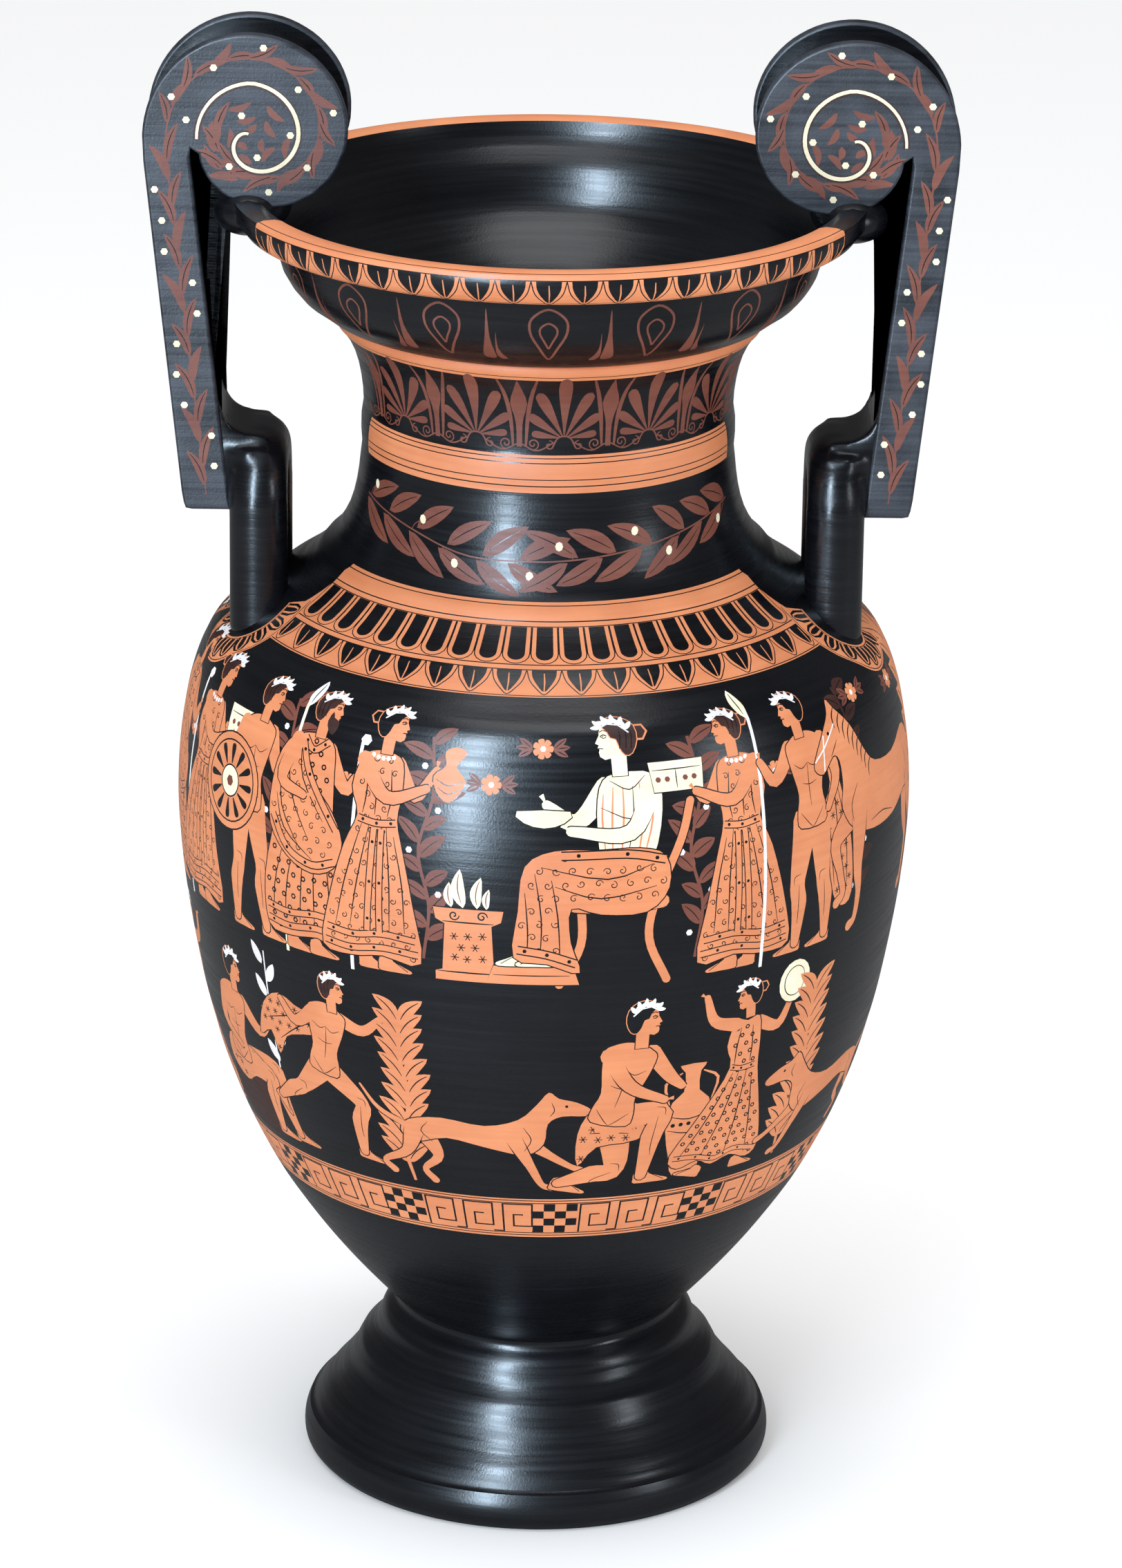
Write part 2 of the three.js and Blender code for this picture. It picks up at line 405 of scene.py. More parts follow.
def paint_lip():
    """An orange lip with fine lines and a row of eggs. Its sides stay black."""
    half = 64.5
    for c in FACES:
        band(neck, c - half, c + half, V_FACE - 1.5, V_END + 2, ORANGE)
        for v in (V_FACE + .9, V_TOP - 2.6, V_TOP + 1.2):
            band(neck, c - half, c + half, v, v + .5, BLACK)
        for k in range(-10, 11):
            pen.at(c + k * 6.2, V_TOP - 2.6, radial=True)
            egg(pen, math.radians(6.2) * radius_at(V_TOP), V_TOP - V_FACE - 3.4)


def paint_echinus():
    mid = (V_ECHINUS + V_UNDER) / 2 + 6
    for c in FACES:
        for k in range(-3, 4):
            pen.at(c + k * 22.5, mid)
            drop(pen, 19, 35)
        for k in range(-3, 4):
            pen.at(c + (k + .5) * 22.5, mid - 18, flip=1 if k % 2 else -1)
            bud(pen, 34)
        band(neck, c - 90, c + 90, V_RING - 1.5, V_ECHINUS + 4.5, ORANGE)
        band(neck, c - 90, c + 90, V_RING + 1.2, V_RING + 1.7, BLACK)


paint_lip()
paint_echinus()
print("lip and echinus:", len(neck.marks), "marks")

# %% The palmette frieze, the raised neck band and the laurel spray
def paint_palmettes():
    low, high = map(at_height, PALMETTES)
    h = high - low - 1
    for c in FACES:
        for k in range(-2, 3):
            pen.at(c + k * 27 + 5, low + 3.5)
            palmette(pen, h * .98)
        for k in range(-3, 3):
            pen.at(c + (k + .5) * 27 + 5, low + 3)
            lotus(pen, h * .93)
            for side in (-1, 1):
                scroll(pen, side * 6.6, 1.6, 3.1, 1.35, -math.pi / 2, side, .75)
                scroll(pen, side * 14.4, 1.0, 2.6, 1.2, math.pi * .5, -side, .7)
            pen.line(curve(both_sides([(-16.5, 2.6), (-11, -1.0), (-6.6, -1.5)], (0, 1.6)), 4),
                     .7, RED)


def paint_neck_band():
    for c in FACES:
        slanted(neck, c, 73, 71, *map(at_height, NECK_BAND), ORANGE)
        for z, w in ((557.2, .5), (554.8, .5), (546.6, .5), (543.2, .6)):
            band(neck, c - 72, c + 72, at_height(z), at_height(z) + w, BLACK)


def paint_laurel():
    """Two branches that come from the sides and meet in front."""
    rnd = random.Random(4)
    mid = at_height(LAUREL)
    r = radius_at(mid)
    for c in FACES:
        deg = np.linspace(-68, 68, 31)
        dip = -9 + 15 * (np.abs(deg) / 68) ** 1.5 - 3 * np.exp(-((deg + 24) / 14) ** 2)
        pen.at(c, mid)
        pen.line(np.stack([np.radians(deg) * r, dip], 1), .8, RED)
        for k, at in enumerate((-66, -55, -43.5, -32, -20, -9, 8, 19, 31, 43, 55, 66)):
            side = -1 if at > 0 else 1
            x0, y0 = math.radians(at) * r, float(np.interp(at, deg, dip))
            for up in (1, -1):
                shift = up * 2.5 + rnd.uniform(-1.5, 1.5)
                a = (0 if side > 0 else math.pi) + side * up * math.radians(
                    rnd.uniform(20, 36) + (8 if up < 0 else 0))
                leaf(pen, x0 + shift, y0 + up * 1.2, a, rnd.uniform(25, 30),
                     rnd.uniform(7.5, 9), bend=.04 * up * side)
            if k % 3 != 1:
                dx, dy = x0 + side * 7, y0 + (-1) ** k * rnd.uniform(6, 8)
                pen.line(curve([(x0, y0), (x0 + side * 2, (y0 + dy) / 2), (dx, dy)], 3), .4, RED)
                dot = np.linspace(0, 2 * math.pi, 9)[:-1]
                pen.shape(np.stack([dx + 1.9 * np.cos(dot), dy + 2.3 * np.sin(dot)], 1), CREAM)


paint_palmettes()
paint_neck_band()
paint_laurel()
print("neck:", len(neck.marks), "marks")

# %% The shoulder: a raised band, long tongues and pointed eggs, with oblique ends
def at_radius(r):
    """Distance along the wall where the shoulder has this radius, above the belly."""
    keep = (wall[:, 1] > 440) & (wall[:, 1] < 520)
    return float(np.interp(-r, -wall[keep, 0], along[:len(wall)][keep]))


TONGUES, EGGS = (116.3, 134), 136.6     # radii at which the shoulder's rows begin and end
SHOULDER_TOP = 107


def paint_shoulder():
    """An orange field with leaning ends, a row of tongues and a row of eggs below it."""
    top, low = at_radius(SHOULDER_TOP), V_FRIEZE
    t0, t1 = map(at_radius, TONGUES)
    e0 = at_radius(EGGS)
    for c in FACES:
        slanted(neck, c, 70, 62, low - 2, top, ORANGE)
        for r, w in ((108.2, .6), (114.2, .6), (116.1, .5), (134.4, .6), (136.7, .6), (147.9, .5)):
            v = at_radius(r)
            half = np.interp(v, [low, top], [70, 62])
            band(neck, c - half, c + half, v - w, v, BLACK)
        step = 6.1
        for k in range(-10, 11):
            pen.at(c + k * step, t0 - .3, radial=True)
            tongue(pen, math.radians(step) * TONGUES[0], t0 - t1)
        step = 7.0
        for k in range(-9, 10):
            pen.at(c + k * step, e0 - .5, radial=True)
            egg(pen, math.radians(step) * EGGS, 13.2)


def paint_collars(pen):
    """Short tongues round the outer side of each loop handle's root."""
    for side in FACES:
        for way in (-1, 1):
            phi = side + way * math.degrees(math.atan2(139, 30))
            pen.at(phi, at_radius(142.5), flip=way)
            oval = lambda g, k: np.array([math.cos(g) * k, math.sin(g) * k * 1.12])
            a = np.radians(np.linspace(150, 352, 29))
            ring = [np.array([oval(g, k) for g in a]) for k in (20, 34.5)]
            pen.shape(np.vstack([ring[0], ring[1][::-1]]), ORANGE)
            for q in range(10):
                g = math.radians(162 + q * 20)
                d = oval(g, 1)
                n = np.array([-d[1], d[0]])
                for k, colour in ((1.0, BLACK), (.62, ORANGE), (.34, BLACK)):
                    pen.shape([d * 21.6 + n * 3.9 * k, d * 27.4 + n * 4.5 * k,
                               d * (29.6 + 1.8 * k) + n * 2.6 * k, d * (30.4 + 2 * k),
                               d * (29.6 + 1.8 * k) - n * 2.6 * k, d * 27.4 - n * 4.5 * k,
                               d * 21.6 - n * 3.9 * k], colour)
            for k in (21.3, 33.4):
                pen.line(np.array([oval(g, k) for g in a]), .5, BLACK)


paint_shoulder()
paint_collars(pen)
print("shoulder:", len(neck.marks), "marks")

# %% The belly section: meander and checker band, with the scene between the bands
belly = Sheet(V_START, V_FRIEZE)
brush = Brush(belly)


def paint_meander():
    low, high = map(at_height, MEANDER)
    band(belly, -180, 180, low, high, ORANGE)
    for v in (low + 1.3, low + 3, high - 3.4, high - 1.6):
        band(belly, -180, 180, v, v + .6, BLACK)
    h = high - low - 8.2
    base = low + 4.2
    unit = 360 / 12
    key = [(0, 0), (0, 1), (1, 1), (1, .2), (.36, .2), (.36, .62), (.66, .62)]
    for k in range(12):
        phi = -180 + (k + .5) * unit
        r = radius_at(base + h / 2)
        span = math.radians(unit) * r
        wide = (span - h) / 3
        brush.at(phi, base, radial=True)
        for q in range(3):
            x0 = -span / 2 + h + q * wide + 1.2
            for (ax, ay), (bx, by) in zip(key, key[1:]):
                x1, x2 = sorted((x0 + ax * (wide - 5), x0 + bx * (wide - 5)))
                y1, y2 = sorted((ay * h, by * h))
                brush.shape([(x1 - .45, y1 - .45), (x2 + .45, y1 - .45), (x2 + .45, y2 + .45),
                             (x1 - .45, y2 + .45)], BLACK)
            brush.shape([(x0 + wide - 5, -.45), (x0 + wide, -.45), (x0 + wide, .45),
                         (x0 + wide - 5, .45)], BLACK)
        cell = (h + 1) / 4
        for i in range(4):
            for j in range(4):
                if (i + j) % 2 == 0:
                    x, y = -span / 2 - 1.2 + i * cell, j * cell - .5
                    brush.shape([(x, y), (x + cell, y), (x + cell, y + cell), (x, y + cell)],
                                BLACK)


paint_meander()
paint_collars(brush)
print("belly bands:", len(belly.marks), "marks")

# %% [markdown]
# ## The picture zone
# Red-figure painters left the figures in the colour of the clay and filled the ground with
# black slip, then drew folds and muscles with a fine brush. Here it is the same: every figure
# is laid down in clay orange inside a thin black contour, with fine black lines on top. The
# people, animals and plants are plain stock types, posed from a few points each, so one small
# kit can fill both sides of the pot with a harvest procession.

# %% A figure painter's kit: contoured shapes, limbs, folds and scattered ornament
CONTOUR = 0.6    # width in millimetres of the black line round a shape


def outset(p, d):
    """A closed outline moved outwards by d."""
    t = unit_rows(np.roll(p, -1, 0) - np.roll(p, 1, 0), 1e-9)
    area = np.sum(p[:, 0] * np.roll(p[:, 1], -1) - p[:, 1] * np.roll(p[:, 0], -1))
    return p + np.stack([t[:, 1], -t[:, 0]], 1) * d * np.sign(area)


def patch(b, pts, colour=ORANGE, n=3):
    """A closed shape inside a thin black contour. Returns its outline."""
    p = curve(pts, n, True) if n else np.asarray(pts, float)
    b.shape(outset(p, CONTOUR / b.size), BLACK)
    b.shape(p, colour)
    return p


def limb(b, pts, widths, colour=ORANGE, bare=0.0):
    """A limb through a few joints, with its width at each of them and round ends. The
    contour leaves out the first part, bare, so that the limb grows out of the body."""
    path = curve(pts, 5)
    d = unit_rows(np.gradient(path, axis=0), 1e-9)
    side = np.stack([-d[:, 1], d[:, 0]], 1)
    w = np.interp(np.linspace(0, len(pts) - 1, len(path)), range(len(pts)), widths) / 2
    for extra, tone in ((CONTOUR / b.size, BLACK), (0, colour)):
        first = int(round(len(path) * bare)) if extra else 0
        k = (w + extra * np.clip((np.arange(len(w)) - first) / 2, 0, 1))[:, None]
        caps = []
        for i, s in ((-1, 1), (0, -1)):
            a = np.radians([60, 20, -20, -60]) if s > 0 else np.radians([-60, -20, 20, 60])
            caps.append(path[i] + k[i] * (np.cos(a)[:, None] * d[i] * s
                                          + np.sin(a)[:, None] * side[i]))
        b.shape(np.vstack([path + side * k, caps[0], (path - side * k)[::-1], caps[1]]), tone)


def folds(b, lines, width=.7, colour=BLACK):
    for pts in lines:
        b.line(curve(pts, 3), width / b.size, colour, .6)


def dots(b, pts, radius, colour):
    a = np.linspace(0, 2 * math.pi, 7)[:-1]
    for x, y in pts:
        b.shape(np.stack([x + radius * np.cos(a), y + radius * np.sin(a)], 1), colour)


def strewn(b, outline, gap, seed, kind="ring"):
    """Small ornament on a loose grid inside an outline."""
    rnd = random.Random(seed)
    lo, hi = outline.min(0), outline.max(0)
    grid = np.array([(x + (gap / 2 if j % 2 else 0), y)
                     for j, y in enumerate(np.arange(lo[1] + gap * .6, hi[1], gap * .85))
                     for x in np.arange(lo[0] + gap * .5, hi[0], gap)])
    if not len(grid):
        return
    keep = covers(outset(outline, -gap * .42), grid)
    for x, y in grid[keep]:
        x, y = x + rnd.uniform(-.4, .4), y + rnd.uniform(-.4, .4)
        r = gap * .24
        if kind == "ring":
            dots(b, [(x, y)], r, BLACK)
            dots(b, [(x, y)], r * .48, ORANGE)
        elif kind == "star":
            for a in (0, 1.05, 2.09):
                c, s = r * 1.25 * math.cos(a), r * 1.25 * math.sin(a)
                b.line([(x - c, y - s), (x, y), (x + c, y + s)], .45 / b.size, BLACK)
        else:
            scroll(b, x, y, r * 1.1, 1.1, rnd.uniform(0, 6), rnd.choice((-1, 1)),
                   .5 / b.size, BLACK)


def hem(b, pts, width):
    """A woven border: two lines with a row of dots between them."""
    path = curve(pts, 4)
    b.line(path, width, BLACK)
    b.line(path, width * .72, ORANGE)
    step = max(1, int(round(width * .9)))
    dots(b, path[1:-1:step], width * .22, BLACK)


print("figure kit ready")

# %% Heads, hands and feet
FACE = [(.24, .42), (.33, .20), (.34, .12), (.44, -.06), (.36, -.10), (.39, -.16), (.35, -.20),
        (.37, -.26), (.35, -.36), (.24, -.43), (.11, -.40), (.10, -.80), (-.24, -.80),
        (-.24, -.30), (-.42, .0), (-.40, .28), (-.16, .48), (.08, .50)]
HAIR = [(.27, .40), (.14, .20), (.08, .06), (-.04, .02), (-.10, -.16), (-.22, -.34),
        (-.38, -.30), (-.50, -.02), (-.46, .32), (-.22, .55), (.08, .57)]


def head(b, x, y, way=1, tilt=0.0, hair=BLACK, beard=False, bun=False, skin=ORANGE):
    """A head in profile with a leafy crown, facing right, or left where way is -1."""
    c, s, size = math.cos(tilt), math.sin(tilt), 13.5

    def put(pts):
        p = np.asarray(pts, float) * size
        return np.stack([x + way * (p[:, 0] * c - p[:, 1] * s), y + p[:, 0] * s + p[:, 1] * c], 1)

    if bun:
        for colour, k in ((ORANGE, .22), (hair, .17)):
            dots(b, put([(-.55, .16)]), k * size, colour)
    b.shape(outset(put(FACE), .6 / b.size), BLACK)
    b.shape(put(FACE), skin)
    lock = put(curve(HAIR, 2, True))
    b.shape(outset(lock, .5 / b.size), ORANGE)
    b.shape(lock, hair)
    if hair != BLACK:
        for k in (-.12, -.26, -.38):
            b.line(put(curve([(k + .25, .50), (k, .2), (k + .02, -.2)], 3)), .4 / b.size, BLACK)
    if beard:
        b.shape(put(curve([(.12, -.02), (.20, -.18), (.36, -.24), (.40, -.40), (.28, -.64),
                           (.10, -.52), (.02, -.30)], 2, True)), hair)
    b.line(put([(.17, .10), (.24, .135), (.31, .10)]), .55 / b.size, BLACK)
    b.line(put([(.18, .07), (.25, .05), (.31, .09)]), .4 / b.size, BLACK)
    dots(b, put([(.255, .09)]), .35 / b.size, BLACK)
    b.line(put([(.15, .21), (.24, .24), (.32, .20)]), .45 / b.size, BLACK)
    if not beard:
        b.line(put([(.27, -.185), (.32, -.18), (.38, -.175)]), .45 / b.size, BLACK)
    b.line(put([(.30, .30), (.12, .40), (-.12, .36), (-.34, .16)]), .7 / b.size, WHITE)
    for k, (px, py) in enumerate(((.26, .32), (.12, .40), (-.02, .41), (-.16, .35),
                                  (-.27, .24))):
        for up in (-.45, .45):
            q = put([(px, py), (px + .3 * math.cos(.35 + .35 * k + up),
                                py + .3 * math.sin(.35 + .35 * k + up))])
            leaf(b, *q[0], math.atan2(*(q[1] - q[0])[::-1]), size * .25, size * .10, WHITE,
                 None, .0)


def hand(b, at, toward, skin=ORANGE):
    """A thumb past the wrist. The round end of the forearm stands for the rest of the hand."""
    p, q = np.asarray(at, float), np.asarray(toward, float)
    d = (p - q) / np.linalg.norm(p - q)
    n = np.array([-d[1], d[0]])
    b.shape([p, p + n * 2.6 + d * 2.4, p + n * 1.2 + d * 3.2], skin)


def foot_shape(b, ankle, way=1, skin=ORANGE, tilt=0.0):
    c, s = math.cos(tilt), math.sin(tilt)
    p = np.array([(-2.1, 2.0), (-2.6, -1.6), (-2.0, -3.4), (4, -3.5), (9.6, -3.5), (10.2, -2.4),
                  (7.4, -1.2), (3.0, 1.0), (1.9, 3.0)])
    p = np.stack([way * (p[:, 0] * c - p[:, 1] * s), p[:, 0] * s + p[:, 1] * c], 1)
    patch(b, p + ankle, skin, 2)
    b.line(p[[4, 7]] * [[.92, .8], [1, 1]] + ankle, .4 / b.size, BLACK)


def arm(b, shoulder, elbow, wrist, skin=ORANGE):
    limb(b, [shoulder, elbow, wrist], [6.6, 4.9, 3.0], skin, bare=.2)
    hand(b, wrist, elbow, skin)


def leg(b, hip, knee, ankle, tilt=0.0):
    k, a = np.asarray(knee, float), np.asarray(ankle, float)
    calf = k + (a - k) * .38 - np.array([.9, 0])
    foot_shape(b, ankle, tilt=tilt)
    limb(b, [hip, knee, calf, ankle], [12.5, 7.4, 7.6, 3.9], bare=.16)
    folds(b, [[k + (-1.6, 2.2), k + (1.5, 1.4), k + (1.8, -1.6)],
              [k + (-.8, -2), calf + (.2, -3), calf + (.3, -8)]], .45)


def torso(b, chest, hip):
    """A bare trunk from shoulders to hips, with a few muscle lines."""
    width, waist, seat = 19, 12.5, 15
    c, h = np.asarray(chest, float), np.asarray(hip, float)
    d = (h - c) / np.linalg.norm(h - c)
    n = np.array([-d[1], d[0]])
    long = np.linalg.norm(h - c)
    side = [(-.09, width * .14), (-.02, width * .38), (.07, width * .5), (.34, width * .45),
            (.68, waist * .5), (.92, seat * .5), (1.12, seat * .42)]
    pts = [c + d * t * long + n * w for t, w in side]
    pts += [c + d * t * long - n * w for t, w in side[::-1]]
    patch(b, pts)
    at = lambda t, w: c + d * t * long + n * w
    folds(b, [[at(.30, -7), at(.36, -3), at(.30, 0)], [at(.30, 0), at(.36, 3.4), at(.28, 7)],
              [at(.30, .2), at(.6, .6), at(.86, .2)], [at(.55, -3.8), at(.58, 0), at(.55, 3.8)],
              [at(.92, -6), at(1.08, -2), at(1.14, 0)], [at(.92, 6), at(1.08, 2), at(1.14, 0)]],
          .45)


print("heads and limbs ready")

# %% The people of the procession
def youth(b, pose, cloak=None, **face):
    """A bare figure from its joints: head, chest, hip, two arms and two legs."""
    (far_arm, near_arm), (far_leg, near_leg) = pose["arms"], pose["legs"]
    tilts = pose.get("tilts", (0, 0))
    leg(b, *far_leg, tilts[0])
    arm(b, *far_arm)
    if cloak is not None:
        outline = patch(b, cloak[0])
        strewn(b, outline, 5.0, 3, kind="star")
        folds(b, cloak[1])
    leg(b, *near_leg, tilts[1])
    torso(b, pose["chest"], pose["hip"])
    head(b, *pose["head"], **face)
    arm(b, *near_arm)


def robe(b, outline, lines, hems, seed, kind="ring", gap=5.0, border=3.0):
    """A patterned dress or cloak with folds and woven borders."""
    strewn(b, patch(b, outline), gap, seed, kind)
    folds(b, lines)
    for path in hems:
        hem(b, path, border)


def staff(b, pts, width, colour=WHITE):
    """A straight staff: it keeps one angle round the pot, however the wall swells."""
    b.radial = True
    b.line(pts, width / b.size, colour)
    b.radial = False


def standing_youth(b):
    """A young man with a spear, his cloak over one arm."""
    staff(b, [(24, -2), (24, 25), (24, 50), (24, 76), (24, 98)], 1.9)
    leaf(b, 23, 94, math.pi / 2, 13, 4.6, CREAM, BLACK, 0)
    youth(b, dict(head=(2.5, 92.5), chest=(0, 81), hip=(0, 52),
                  arms=(((8, 79), (17, 69), (22.5, 77)), ((-8.5, 79), (-15, 65), (-9, 53))),
                  legs=(((4, 51), (8.5, 29), (8, 4)), ((-3.5, 51), (-5, 28), (-8, 4)))),
          cloak=([(-8, 80), (-15, 76), (-17, 60), (-22, 40), (-24, 16), (-18, 12), (-12, 18),
                  (-8, 34), (-6, 52), (-11, 62)],
                 [[(-12, 74), (-13, 58), (-15, 20)], [(-15, 60), (-19, 40), (-20, 18)],
                  [(-9, 50), (-10, 36), (-12, 22)]]))


def elder(b):
    """A bearded man in a long dress and a heavy cloak, with a knobbed staff."""
    staff(b, [(21, -2), (21, 30), (21, 60), (21, 84)], 1.9)
    dots(b, [(21, 85)], 2.2, WHITE)
    for x in (-6, 5):
        foot_shape(b, (x, 3.6))
    arm(b, (7, 78), (16, 66), (20, 71))
    robe(b, [(-9, 79), (-15, 66), (-15, 48), (-19, 26), (-18, 7), (-7, 5), (6, 7), (16, 6),
             (18, 28), (13, 50), (11, 68), (9, 79), (4, 82.5), (-4, 82.5)],
         [[(-10, 40), (-14, 24), (-15, 11)], [(-5, 40), (-8, 24), (-9, 11)],
          [(0, 40), (-1, 24), (-2, 11)], [(5, 40), (5, 24), (5, 11)],
          [(10, 42), (12, 26), (12, 11)]],
         [[(-18, 9.5), (-7, 8.5), (6, 10.5), (16, 9)], [(-18, 15), (-7, 14), (6, 16), (17, 15)],
          [(-5, 81), (0, 77), (6, 81)]], 5)
    robe(b, [(-8, 81), (-15, 74), (-18, 60), (-17, 46), (-8, 36), (4, 32), (14, 36), (17, 46),
             (12, 56), (4, 64), (-2, 74)],
         [[(-11, 76), (-8, 60), (2, 44)], [(-14, 70), (-12, 54), (-2, 40)],
          [(-6, 78), (-3, 66), (8, 52)], [(-15, 58), (-10, 46), (4, 37)]],
         [[(-16, 50), (-8, 39), (4, 35), (14, 38)], [(-5, 79), (0, 68), (14, 50)]],
         14, "curl", 5.4, 3.2)
    head(b, 2.5, 92.5, beard=True, hair=DARK)
    arm(b, (-8, 79), (-13, 64), (-2, 60))


def maiden(b, gift="jug"):
    """A woman in a long dress who brings a jug or a casket."""
    for x in (-4, 4):
        foot_shape(b, (x, 3.6))
    arm(b, (6, 78), (14, 68), (21, 78))
    robe(b, [(-8, 79), (-11, 68), (-8, 58), (-13, 46), (-19, 24), (-22, 6), (-10, 4), (3, 6),
             (18, 5), (15, 28), (11, 46), (8, 58), (9, 68), (8, 79), (3, 82), (-3, 82)],
         [[(-5, 76), (-5, 66), (-6, 59)], [(-1, 75), (-1, 66), (-1, 59)],
          [(4, 76), (5, 66), (4, 59)], [(-6, 55), (-12, 34), (-16, 16)],
          [(-3, 55), (-7, 34), (-10, 16)], [(4, 55), (6, 34), (6, 16)],
          [(7, 52), (11, 34), (12, 16)]],
         [[(-21, 8), (-10, 7), (3, 9), (17, 8)], [(-20, 13.5), (-9, 12.5), (3, 14.5), (16, 13.5)],
          [(-7.5, 57), (0, 56), (7.5, 57)], [(-1, 54), (-2, 34), (-3, 15)],
          [(2, 54), (2, 34), (2, 15)]], 8, "curl")
    dots(b, [(x, 79.6 + .05 * x * x) for x in (-4, -2, 0, 2, 4)], .9, WHITE)
    head(b, 2, 92, bun=True, hair=BLACK if gift == "jug" else DARK)
    if gift == "jug":
        patch(b, [(22, 70), (20, 76), (24, 80), (23, 85), (27, 87), (31, 85), (28, 80), (32, 75),
                  (29, 69), (26, 67)])
        folds(b, [[(21, 75), (26, 73), (31, 75)], [(22, 72), (26, 70), (30, 72)],
                  [(30, 85), (35, 82), (32, 75)]], .6)
    else:
        patch(b, [(15, 72), (34, 72), (35, 83), (14, 83)], CREAM, 0)
        folds(b, [[(15, 80), (25, 80), (34, 80)], [(25, 80), (25, 77), (25, 73)]], .6)
        dots(b, [(x, 76.5) for x in (18, 21.5, 28.5, 32)], 1.1, RED)
    arm(b, (-7, 78), (3, 66), (18, 71))


def attendant(b):
    """The same woman with a casket instead of the jug."""
    maiden(b, gift="casket")


def shield_bearer(b):
    """A young man with a round shield on his arm and a long spear."""
    staff(b, [(22, -2), (22, 25), (22, 50), (22, 76), (22, 96)], 1.9, CREAM)
    leaf(b, 21, 93, math.pi / 2, 12, 4.2, WHITE, BLACK, 0)
    youth(b, dict(head=(2.5, 92.5), chest=(0, 81), hip=(0, 52),
                  arms=(((8, 79), (15, 66), (20.5, 72)), ((-8.5, 79), (-13, 66), (-12, 58))),
                  legs=(((4, 51), (10, 29), (11, 4)), ((-3.5, 51), (-4, 28), (-7, 4)))),
          hair=DARK)
    centre = np.array([-13.0, 55.0])
    a = np.linspace(0, 2 * math.pi, 33)[:-1]
    for r, colour in ((18.6, BLACK), (18, ORANGE), (15.6, BLACK), (15, ORANGE), (6.2, BLACK),
                      (5.6, CREAM)):
        b.shape(centre + np.stack([r * np.cos(a), r * np.sin(a)], 1), colour)
    for k in range(12):
        t = k * math.pi / 6
        petal(b, *(centre + 6.6 * np.array([math.cos(t), math.sin(t)])), t, 7.6, 3.4, BLACK)
    dots(b, [centre], 2.2, RED)


def seated_woman(b):
    """She sits on a chair with curved legs, in a pale dress, and holds out a bowl."""
    for pts in ([(-13, 0), (-7, 14), (-9, 27), (-17, 45), (-20, 56)], [(20, 0), (14, 13),
                                                                     (14, 26)]):
        limb(b, pts, [2.6] * len(pts))
    limb(b, [(-11, 26), (2, 25), (16, 26)], [4.2, 4.2, 4.2])
    dots(b, [(x, 26) for x in (-8, -3, 2, 7, 12)], 1.0, BLACK)
    patch(b, [(14, 0), (16, 6), (40, 6), (42, 0)], ORANGE, 0)
    folds(b, [[(17, 3), (28, 3), (40, 3)]], .6)
    foot_shape(b, (29, 9.6), skin=CREAM)
    foot_shape(b, (23, 9.6), skin=CREAM)
    arm(b, (6, 62), (15, 52), (24, 57), CREAM)
    patch(b, [(-9, 65), (-11, 54), (-8, 40), (-2, 36), (7, 38), (9, 50), (8, 62), (3, 66)], CREAM)
    folds(b, [[(-7, 62), (-8, 52), (-5, 40)], [(-4, 63), (-5, 52), (-3, 39)],
              [(1, 62), (1, 52), (2, 39)], [(4, 62), (4.5, 52), (4.5, 40)],
              [(7, 60), (7.5, 52), (6.5, 41)]], 1.0, ORANGE)
    folds(b, [[(-2, 62), (-2, 52), (0, 40)], [(-9, 57), (-2, 52), (8, 56)],
              [(-6, 65), (-1, 61), (5, 64)]], .6, DARK)
    robe(b, [(-12, 40), (-13, 30), (-6, 23), (8, 23), (17, 25), (17, 14), (14, 4), (24, 7),
             (34, 9), (33, 24), (31, 38), (22, 43), (8, 43), (-4, 43)],
         [[(-8, 38), (6, 34), (26, 38)], [(-9, 31), (8, 28), (22, 32)],
          [(28, 36), (26, 22), (26, 9)], [(23, 34), (21, 22), (20, 8)], [(31, 30), (30, 18),
                                                                        (30, 10)]],
         [[(15, 7), (24, 10), (33, 11.5)], [(-12, 39), (0, 41.5), (20, 41.5)]], 12, "curl")
    head(b, 2.5, 76, bun=True, hair=DARK, skin=CREAM)
    arm(b, (-8, 62), (-1, 48), (17, 49), CREAM)
    patch(b, [(17, 55), (19, 51.5), (25, 50), (31, 51.5), (33, 55)], CREAM, 2)


def running_youth(b):
    """He runs with his cloak flying behind him."""
    youth(b, dict(head=(9, 88), chest=(5, 78), hip=(0, 50),
                  arms=(((11, 75), (22, 72), (31, 79)), ((-2, 76), (-13, 68), (-21, 76))),
                  legs=(((-2, 49), (-15, 36), (-31, 26)), ((2, 49), (16, 36), (12, 10))),
                  tilts=(-.9, -.1)),
          cloak=([(4, 80), (-8, 74), (-22, 78), (-33, 70), (-38, 54), (-30, 58), (-26, 48),
                  (-20, 58), (-10, 62), (2, 66)],
                 [[(0, 76), (-14, 70), (-31, 64)], [(0, 71), (-12, 65), (-24, 56)]]),
          hair=DARK)


